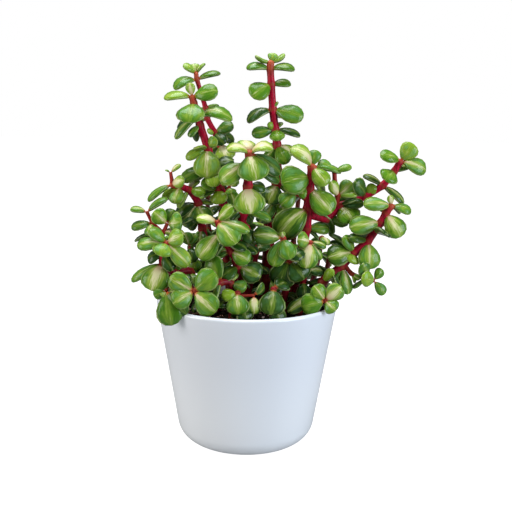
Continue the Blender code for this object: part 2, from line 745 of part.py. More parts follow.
def stem_hole(name, foot, radius, collection):
    """A cutter for the plain hole in which a stem stands, as far above the mix as below."""
    mesh = bmesh.new()
    hole_radius = (radius + CLEARANCE) / math.cos(math.pi / HOLE_SIDES) * MM
    bmesh.ops.create_cone(
        mesh,
        cap_ends=True,
        segments=HOLE_SIDES,
        radius1=hole_radius,
        radius2=hole_radius,
        depth=2 * (MIX_TOP - STEM_FOOT + CLEARANCE) * MM,
        matrix=Matrix.Translation(Vector((foot.x, foot.y, MIX_TOP)) * MM),
    )
    data = bpy.data.meshes.new(name)
    mesh.to_mesh(data)
    mesh.free()
    cutter = linked(bpy.data.objects.new(name, data), collection)
    cutter.hide_render = True
    cutter.display_type = "WIRE"
    return cutter


def tree_of(obj):
    """The shape of an object, in millimetres, for telling what crosses it."""
    bpy.context.view_layer.update()
    mesh = bmesh.new()
    mesh.from_object(obj, bpy.context.evaluated_depsgraph_get())
    bmesh.ops.scale(mesh, vec=(1 / MM, 1 / MM, 1 / MM), verts=mesh.verts)
    tree = BVHTree.FromBMesh(mesh)
    mesh.free()
    return tree


class Thicket:
    """What stands so far, and whether a new leaf is clear of it."""

    def __init__(self):
        self.solids = []
        self.leaves = []

    def add_solid(self, owner, obj):
        self.solids.append((owner, tree_of(obj)))

    def is_clear(self, owner, leaf, tree, among_own):
        """Whether the leaf crosses no other stem's solids or leaves, nor its own stem's."""
        for other, solid in self.solids:
            if other != owner and tree.overlap(solid):
                return False
        for other, other_leaf, other_tree in self.leaves:
            if other == owner and (other_leaf.root == leaf.root or not among_own):
                continue
            apart = (leaf.middle() - other_leaf.middle()).length
            near = apart < (leaf.length() + other_leaf.length()) * NEAR_SHARE
            if near and tree.overlap(other_tree):
                return False
        return True

    def bent_clear(self, owner, leaf):
        """The leaf as it is bent, or made smaller, to cross nothing, or None where none fits."""
        for among_own in (True, False):
            for size in SIZES:
                for bend in BENDS:
                    changed = leaf.changed(bend, size)
                    mesh = leaf_mesh(changed, SWELL_WIDTH, SWELL_THICKNESS)
                    tree = BVHTree.FromBMesh(mesh)
                    mesh.free()
                    if self.is_clear(owner, changed, tree, among_own):
                        self.leaves.append((owner, changed, tree))
                        return changed
        return None


def leaf_object(leaf, collection):
    mesh = leaf_mesh(leaf)
    bmesh.ops.scale(mesh, vec=(MM, MM, MM), verts=mesh.verts)
    bmesh.ops.triangulate(mesh, faces=mesh.faces)
    data = bpy.data.meshes.new("leaf")
    mesh.to_mesh(data)
    mesh.free()
    return linked(bpy.data.objects.new("leaf", data), collection)


def fuse(stem, pieces):
    """Makes the stem one closed body with the shoots and leaves in a collection."""
    union = stem.modifiers.new("Fuse", "BOOLEAN")
    union.operation = "UNION"
    union.operand_type = "COLLECTION"
    union.collection = pieces
    union.solver = "EXACT"
    mesh = evaluated_mesh(stem)
    stem.modifiers.clear()
    stem.data = mesh
    for piece in list(pieces.objects):
        bpy.data.objects.remove(piece)
    bpy.data.collections.remove(pieces)


def build_pot(parts):
    pot = turned("pot", pot_profile(), parts)
    pot.data.materials.append(finish("white glaze", GLAZE_WHITE, GLAZE_ROUGHNESS, GLAZE_COAT))
    return pot


def build_mix(plans, parts, cutters):
    mix = turned("potting_mix", mix_profile(), parts)
    mix.data.materials.append(finish("dark potting mix", MIX_BROWN, MIX_ROUGHNESS))
    for name, plan in plans.items():
        stem_hole(name + "_hole", plan.lines[0][0], plan.radii[0], cutters)
    holes = mix.modifiers.new("Stem holes", "BOOLEAN")
    holes.operation = "DIFFERENCE"
    holes.operand_type = "COLLECTION"
    holes.collection = cutters
    return mix


def build_lines(name, plan, parts, thicket):
    """A stem and its thinner side shoots, with the collection that holds the shoots."""
    pieces = new_collection(name + "_pieces")
    stem = tube(name, plan.lines[0], *plan.radii, parts)
    thicket.add_solid(name, stem)
    for points in plan.lines[1:]:
        share = TWIG_SHARE if len(points) <= TWIG_JOINTS else SHOOT_SHARE
        radii = [radius * share for radius in plan.radii]
        thicket.add_solid(name, tube(name + "_shoot", points, *radii, pieces))
    return stem, pieces


def build_leaves(name, joints, pieces, thicket):
    for leaves in joints:
        for leaf in leaves:
            clear = thicket.bent_clear(name, leaf)
            if clear:
                leaf_object(clear, pieces)


def main():
    for obj in list(bpy.data.objects):
        bpy.data.objects.remove(obj)
    parts = new_collection("potted_elephant_bush")
    cutters = new_collection("cutters")
    plans = stem_plans()
    thicket = Thicket()
    thicket.add_solid("pot", build_pot(parts))
    thicket.add_solid("potting_mix", build_mix(plans, parts, cutters))
    stems = {name: build_lines(name, plan, parts, thicket) for name, plan in plans.items()}
    for name, (stem, pieces) in stems.items():
        build_leaves(name, plans[name].drawn, pieces, thicket)
    for index, (name, (stem, pieces)) in enumerate(stems.items()):
        build_leaves(name, plans[name].filling, pieces, thicket)
        fuse(stem, pieces)
        green = LEAF_GREENS[index % len(LEAF_GREENS)]
        stem.data.materials.clear()
        stem.data.materials.append(finish(name + " green", green, LEAF_ROUGHNESS, LEAF_COAT))
        stem.data.shade_smooth()
        stem.data.set_sharp_from_angle(angle=math.radians(SHARP_ANGLE))


main()
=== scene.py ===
import math
import random
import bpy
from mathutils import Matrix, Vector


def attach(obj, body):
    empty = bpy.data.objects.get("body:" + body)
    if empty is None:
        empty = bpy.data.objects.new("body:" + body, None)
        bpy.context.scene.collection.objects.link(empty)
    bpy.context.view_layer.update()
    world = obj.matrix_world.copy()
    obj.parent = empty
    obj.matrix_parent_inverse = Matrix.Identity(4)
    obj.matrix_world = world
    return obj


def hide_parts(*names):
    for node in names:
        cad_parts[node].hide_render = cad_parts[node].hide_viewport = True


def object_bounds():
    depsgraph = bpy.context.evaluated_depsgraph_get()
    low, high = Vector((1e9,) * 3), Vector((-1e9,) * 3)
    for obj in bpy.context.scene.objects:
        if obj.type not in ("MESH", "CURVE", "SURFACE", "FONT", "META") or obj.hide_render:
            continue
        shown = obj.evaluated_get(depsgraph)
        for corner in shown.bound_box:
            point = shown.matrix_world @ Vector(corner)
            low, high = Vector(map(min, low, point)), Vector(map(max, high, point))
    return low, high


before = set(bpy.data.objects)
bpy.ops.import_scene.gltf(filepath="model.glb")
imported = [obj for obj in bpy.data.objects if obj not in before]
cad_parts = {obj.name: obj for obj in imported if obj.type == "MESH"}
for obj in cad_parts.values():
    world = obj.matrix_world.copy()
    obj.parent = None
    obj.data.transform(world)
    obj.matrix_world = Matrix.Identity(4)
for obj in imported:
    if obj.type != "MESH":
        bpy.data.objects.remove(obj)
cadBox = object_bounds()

from copy import copy

import bmesh
import bpy
from mathutils import Matrix, Vector, noise
from mathutils.kdtree import KDTree

mm = 0.001  # Blender works in metres. Sizes below are in millimetres unless a note says not


def rgb(red, green, blue):
    # a colour as a paint program gives it, 0 to 255, as the light values that Blender takes
    light = [((value / 255 + 0.055) / 1.055) ** 2.4 for value in (red, green, blue)]
    return (*light, 1)


print("camera, lights and floor")

shot = {
    "eye": (0, -463.7, 201.4),
    "lookDown": 9.574,  # degrees
    "turnRight": 0.676,
    "roll": 0.814,
    "lens": 50.1,
}

# each lamp: where it hangs and what it points at, its width and height, its watts and colour
lamps = {
    "softboxRight": ((720, -470, 390), (0, 0, 110), (520, 520), 6.2, rgb(232, 242, 255)),
    "softboxLeft": ((-760, -310, 380), (0, 0, 110), (400, 600), 3.9, rgb(255, 252, 248)),
    "overhead": ((-60, 60, 800), (0, 0, 120), (500, 500), 5.7, rgb(250, 252, 255)),
}
studio = {
    "backdrop": rgb(255, 255, 255),
    "seenStrength": 1.0,  # how bright the backdrop looks
    "lightStrength": 0.15,  # how much it lights the plant
    "floorWidth": 60000,
    "floor": rgb(150, 150, 150),
    "floorGlow": rgb(96, 98, 100),  # how it lights the plant. It looks as white as the backdrop
}


def linked(name, data):
    obj = bpy.data.objects.new(name, data)
    bpy.context.scene.collection.objects.link(obj)
    return obj


def addCamera():
    data = bpy.data.cameras.new("camera")
    data.lens = shot["lens"]
    data.sensor_width = 36
    data.clip_start = 0.01
    camera = linked("camera", data)
    turn = Matrix.Rotation(-math.radians(shot["turnRight"]), 4, "Z")
    tilt = Matrix.Rotation(math.radians(90 - shot["lookDown"]), 4, "X")
    roll = Matrix.Rotation(math.radians(shot["roll"]), 4, "Z")
    camera.matrix_world = Matrix.Translation(Vector(shot["eye"]) * mm) @ turn @ tilt @ roll
    bpy.context.scene.camera = camera


def addLamp(name, place, target, size, watts, colour):
    data = bpy.data.lights.new(name, "AREA")
    data.shape = "RECTANGLE"
    data.size = size[0] * mm
    data.size_y = size[1] * mm
    data.energy = watts
    data.color = colour[:3]
    lamp = linked(name, data)
    lamp.location = Vector(place) * mm
    away = Vector(place) - Vector(target)
    lamp.rotation_euler = away.to_track_quat("Z", "Y").to_euler()


def addBackdrop():
    world = bpy.data.worlds.new("studio")
    world.use_nodes = True
    nodes, links = world.node_tree.nodes, world.node_tree.links
    background = nodes["Background"]
    background.inputs["Color"].default_value = studio["backdrop"]
    strength = nodes.new("ShaderNodeMapRange")
    strength.inputs["To Min"].default_value = studio["lightStrength"]
    strength.inputs["To Max"].default_value = studio["seenStrength"]
    links.new(nodes.new("ShaderNodeLightPath").outputs["Is Camera Ray"], strength.inputs[0])
    links.new(strength.outputs[0], background.inputs["Strength"])
    bpy.context.scene.world = world
    bpy.context.scene.view_settings.view_transform = "Standard"


class Wire:  # one shader value, which can stand in sums
    def __init__(self, finish, socket):
        self.finish = finish
        self.socket = socket

    def maths(self, operation, *values):
        inputs = dict(enumerate(values))
        return self.finish.node("ShaderNodeMath", {"operation": operation}, inputs)

    def __add__(self, other):
        return self.maths("ADD", self, other)

    def __radd__(self, other):
        return self.maths("ADD", other, self)

    def __sub__(self, other):
        return self.maths("SUBTRACT", self, other)

    def __rsub__(self, other):
        return self.maths("SUBTRACT", other, self)

    def __mul__(self, other):
        return self.maths("MULTIPLY", self, other)

    def __abs__(self):
        return self.maths("ABSOLUTE", self)

    def most(self, other):
        return self.maths("MAXIMUM", self, other)

    def step(self, low, high):
        # a soft step from 0 at the low value to 1 at the high one
        settings = {"interpolation_type": "SMOOTHSTEP"}
        return self.finish.node("ShaderNodeMapRange", settings, {0: self, 1: low, 2: high})


class Finish:  # a material with a Principled shader
    def __init__(self, name, **fixed):
        self.material = bpy.data.materials.new(name)
        self.material.use_nodes = True
        self.tree = self.material.node_tree
        self.shader = self.tree.nodes["Principled BSDF"]
        self.set(**fixed)

    def feed(self, socket, value):
        if isinstance(value, Wire):
            self.tree.links.new(value.socket, socket)
        else:
            socket.default_value = value

    def node(self, kind, settings, inputs, output=0):
        node = self.tree.nodes.new(kind)
        for setting, value in settings.items():
            setattr(node, setting, value)
        for socket, value in inputs.items():
            self.feed(node.inputs[socket], value)
        return Wire(self, node.outputs[output])

    def set(self, **values):
        for socket, value in values.items():
            self.feed(self.shader.inputs[socket.replace("_", " ")], value)

    def place(self):
        return self.node("ShaderNodeTexCoord", {}, {}, "Object")

    def stretched(self, vector, scale):
        return self.node("ShaderNodeMapping", {}, {"Vector": vector, "Scale": scale})

    def attribute(self, name):
        return self.node("ShaderNodeAttribute", {"attribute_name": name}, {}, "Vector")

    def parts(self, vector):
        split = self.node("ShaderNodeSeparateXYZ", {}, {0: vector})
        return [Wire(self, socket) for socket in split.socket.node.outputs]

    def vector(self, x, y, z):
        return self.node("ShaderNodeCombineXYZ", {}, {0: x, 1: y, 2: z})

    def noise(self, vector, scale, detail=2.0):
        inputs = {"Vector": vector, "Scale": scale, "Detail": detail}
        return self.node("ShaderNodeTexNoise", {}, inputs, "Fac")

    def mixed(self, first, second, share):
        return self.node("ShaderNodeMix", {"data_type": "RGBA"}, {0: share, 6: first, 7: second}, 2)

    def bump(self, height, strength, distance):
        inputs = {"Strength": strength, "Distance": distance * mm, "Height": height}
        return self.node("ShaderNodeBump", {}, inputs, "Normal")


def addFloor():
    mesh = bmesh.new()
    bmesh.ops.create_grid(mesh, x_segments=1, y_segments=1, size=studio["floorWidth"] / 2 * mm)
    floor = newObject("floor", mesh)
    paper = Finish("floor paper", Base_Color=studio["floor"], Roughness=0.9)
    seen = paper.node("ShaderNodeLightPath", {}, {}, "Is Camera Ray")
    glow = paper.mixed(studio["floorGlow"], studio["backdrop"], seen)
    paper.set(Specular_IOR_Level=0.2, Emission_Color=glow, Emission_Strength=1.0)
    floor.data.materials.append(paper.material)


def newObject(name, mesh):
    data = bpy.data.meshes.new(name)
    mesh.to_mesh(data)
    mesh.free()
    return linked(name, data)


def finished(name, mesh, nodes, finish, sharpAngle=None):
    # a piece of the plant: smooth, in metres, riding on the part in place of its nodes
    bmesh.ops.scale(mesh, vec=(mm, mm, mm), verts=mesh.verts)
    piece = newObject(name, mesh)
    piece.data.shade_smooth()
    if sharpAngle:
        piece.data.set_sharp_from_angle(angle=math.radians(sharpAngle))
    piece.data.materials.append(finish.material)
    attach(piece, "root")
    if nodes:
        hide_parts(*nodes)
    return piece


addCamera()
addBackdrop()
for name, lamp in lamps.items():
    addLamp(name, *lamp)
addFloor()


print("pot")

pot = {
    "rimRadius": 60.0,
    "coneRadiusAtBase": 44.0,
    "height": 95.0,
    "baseEdgeRadius": 14.0,
    "wall": 3.6,
    "floor": 5.0,
    "turnSteps": 128,
    "edgeSteps": 14,
    "sideSteps": 12,
    "lowGlaze": rgb(247, 251, 255),
    # the glaze on the upper part of the pot is painted darker than below: painted shade
    "topGlazePaintedShade": rgb(235, 240, 247),
    "roughness": 0.3,
}


def arc(centreX, centreZ, radius, start, end):
    points = []
    for step in range(pot["edgeSteps"] + 1):
        angle = math.radians(start + (end - start) * step / pot["edgeSteps"])
        points.append((centreX + radius * math.cos(angle), centreZ + radius * math.sin(angle)))
    return points


def potRadius(height):
    spread = pot["rimRadius"] - pot["coneRadiusAtBase"]
    return pot["coneRadiusAtBase"] + spread * height / pot["height"]


potSlope = math.degrees(math.atan2(pot["height"], pot["rimRadius"] - pot["coneRadiusAtBase"]))


def bottomArc(inset, start, end):
    edge = pot["baseEdgeRadius"]
    centreX = pot["coneRadiusAtBase"] - edge * math.tan(math.radians(potSlope / 2))
    return arc(centreX, edge, edge - inset, start, end)


def between(first, last, steps):
    # points from first towards last, without either
    return [tuple(a + (b - a) * step / steps for a, b in zip(first, last)) for step in range(1, steps)]


def turned(profile, steps):
    # a closed shape: the profile, which starts and ends on the axis, turned about it
    mesh = bmesh.new()
    corners = [mesh.verts.new((radius, 0, height)) for radius, height in profile]
    edges = [mesh.edges.new(pair) for pair in zip(corners, corners[1:])]
    bmesh.ops.spin(
        mesh, geom=corners + edges, axis=(0, 0, 1), cent=(0, 0, 0),
        steps=steps, angle=2 * math.pi, use_merge=True,
    )
    bmesh.ops.remove_doubles(mesh, verts=mesh.verts, dist=0.001)
    bmesh.ops.recalc_face_normals(mesh, faces=mesh.faces)
    return mesh


def addPot():
    lip = pot["wall"] / 2
    lipHeight = pot["height"] - lip
    lipCentre = potRadius(lipHeight) - lip / math.sin(math.radians(potSlope))
    inner = bottomArc(pot["floor"], -90, potSlope - 90)
    round_ = arc(lipCentre, lipHeight, lip, potSlope + 90, potSlope - 90)
    outer = bottomArc(0, potSlope - 90, -90)
    profile = [(0, pot["floor"])] + inner + round_
    profile += between(round_[-1], outer[0], pot["sideSteps"]) + outer + [(0, 0)]
    mesh = turned(profile, pot["turnSteps"])
    finish = Finish("white glaze", Coat_Weight=0.6, Coat_Roughness=0.08, Coat_IOR=1.5)
    place = finish.place()
    cloud = finish.noise(place, 14.0)
    # the glaze darkens from low on the wall towards the rim: painted shade
    height = finish.parts(place)[2] + cloud * 0.012
    finish.set(
        Base_Color=finish.mixed(pot["lowGlaze"], pot["topGlazePaintedShade"], height.step(0.022, 0.08)),
        Roughness=pot["roughness"] + cloud * 0.06,
    )
    finished("pot_glazed", mesh, ["pot"], finish, 60)


addPot()


print("potting mix")

mix = {
    "top": 88.0,
    "clearance": 0.3,
    "topRings": 30,
    "turnSteps": 120,
    "lumps": 1.6,
    "lumpSize": 9.0,
    "grains": 0.7,
    "grainSize": 2.6,
    "lowest": -2.0,
    "crumbs": 520,
    "crumbRadius": (0.5, 1.7),
    "crumbShape": (1, 0.8, 0.7),
    "bits": 120,
    "bitRadius": (0.6, 1.6),
    "bitShape": (1, 0.7, 0.6),
    "bitRise": 0.4,
    "bark": 46,
    "barkLength": (3.0, 8.0),
    "barkShape": (1, 0.4, 0.22),
    "barkRise": 0.6,
    "edgeMargin": 0.5,
    "peat": rgb(58, 42, 32),
    "peatDark": rgb(24, 18, 14),
    "pale": rgb(232, 206, 190),
    "pink": rgb(196, 140, 122),
    "barkLight": rgb(128, 84, 58),
    "barkDark": rgb(62, 40, 30),
    "seed": 21,
}


def mixHeight(x, y):
    # how far the mix stands above its usual top, lumps and grains together
    lumps = noise.noise(Vector((x, y, 3)) / mix["lumpSize"]) * mix["lumps"]
    grains = noise.noise(Vector((x, y, 9)) / mix["grainSize"]) * mix["grains"]
    return lumps + grains + mix["lowest"]


def mixRadius():
    wall = (pot["wall"] + mix["clearance"]) / math.sin(math.radians(potSlope))
    return potRadius(mix["top"]) - wall


def peatFinish():
    finish = Finish("peat", Specular_IOR_Level=0.25)
    place = finish.place()
    grains = finish.noise(place, 420.0, 4.0)
    colour = finish.mixed(mix["peatDark"], mix["peat"], grains.step(0.35, 0.7))
    finish.set(Base_Color=colour, Roughness=0.94)
    finish.set(Normal=finish.bump(finish.noise(place, 900.0, 3.0), 0.6, 0.6))
    return finish


def addMix(finish):
    rim = (mixRadius(), mix["top"])
    top = [(0, mix["top"])] + between((0, mix["top"]), rim, mix["topRings"]) + [rim]
    bottom = bottomArc(pot["floor"] + mix["clearance"], potSlope - 90, -90)
    profile = top + bottom + [(0, pot["floor"] + mix["clearance"])]
    mesh = turned(profile, mix["turnSteps"])
    for vertex in mesh.verts:
        if vertex.co.z > mix["top"] - 0.01:
            vertex.co.z += mixHeight(vertex.co.x, vertex.co.y)
    finished("potting_mix_surface", mesh, ["potting_mix"], finish)


def scattered(chance, reach):
    # a place on top of the mix, evenly spread
    radius = (mixRadius() - reach - mix["edgeMargin"]) * math.sqrt(chance.random())
    angle = chance.uniform(0, 2 * math.pi)
    x, y = radius * math.cos(angle), radius * math.sin(angle)
    return Vector((x, y, mix["top"] + mixHeight(x, y)))


def addLump(mesh, place, radius, shape, chance):
    # a small angular lump, its corners pushed about
    lump = bmesh.ops.create_icosphere(mesh, subdivisions=1, radius=radius)["verts"]
    turn = Matrix.Rotation(chance.uniform(0, 6.3), 3, Vector((0.3, 0.2, 1)).normalized())
    for vertex in lump:
        pushed = vertex.co * chance.uniform(0.75, 1.15)
        vertex.co = place + turn @ Vector([a * b for a, b in zip(pushed, shape)])


def addCrumbs(peat):
    chance = random.Random(mix["seed"])
    mesh = bmesh.new()
    for _ in range(mix["crumbs"]):
        radius = chance.uniform(*mix["crumbRadius"])
        addLump(mesh, scattered(chance, radius), radius, mix["crumbShape"], chance)
    finished("potting_mix_crumbs", mesh, [], peat, 30)


def addBits():
    chance = random.Random(mix["seed"] + 1)
    mesh = bmesh.new()
    for _ in range(mix["bits"]):
        radius = chance.uniform(*mix["bitRadius"])
        place = scattered(chance, radius) + Vector((0, 0, radius * mix["bitRise"]))
        addLump(mesh, place, radius, mix["bitShape"], chance)
    finish = Finish("pale mineral bits", Roughness=0.8)
    cells = finish.noise(finish.place(), 260.0)
    finish.set(Base_Color=finish.mixed(mix["pink"], mix["pale"], cells.step(0.4, 0.6)))
    finish.set(Normal=finish.bump(finish.noise(finish.place(), 1500.0), 0.4, 0.3))
    finished("potting_mix_bits", mesh, [], finish, 30)


def addBark():
    chance = random.Random(mix["seed"] + 2)
    mesh = bmesh.new()
    for _ in range(mix["bark"]):
        half = chance.uniform(*mix["barkLength"]) / 2
        place = scattered(chance, half) + Vector((0, 0, mix["barkRise"]))
        addLump(mesh, place, half, mix["barkShape"], chance)
    finish = Finish("bark chips", Roughness=0.85)
    grain = finish.noise(finish.stretched(finish.place(), (1, 1, 3)), 700.0, 3.0)
    finish.set(Base_Color=finish.mixed(mix["barkDark"], mix["barkLight"], grain.step(0.35, 0.65)))
    finish.set(Normal=finish.bump(grain, 0.5, 0.4))
    finished("potting_mix_bark", mesh, [], finish, 30)


peat = peatFinish()
addMix(peat)
addCrumbs(peat)
addBits()
addBark()


print("stems")

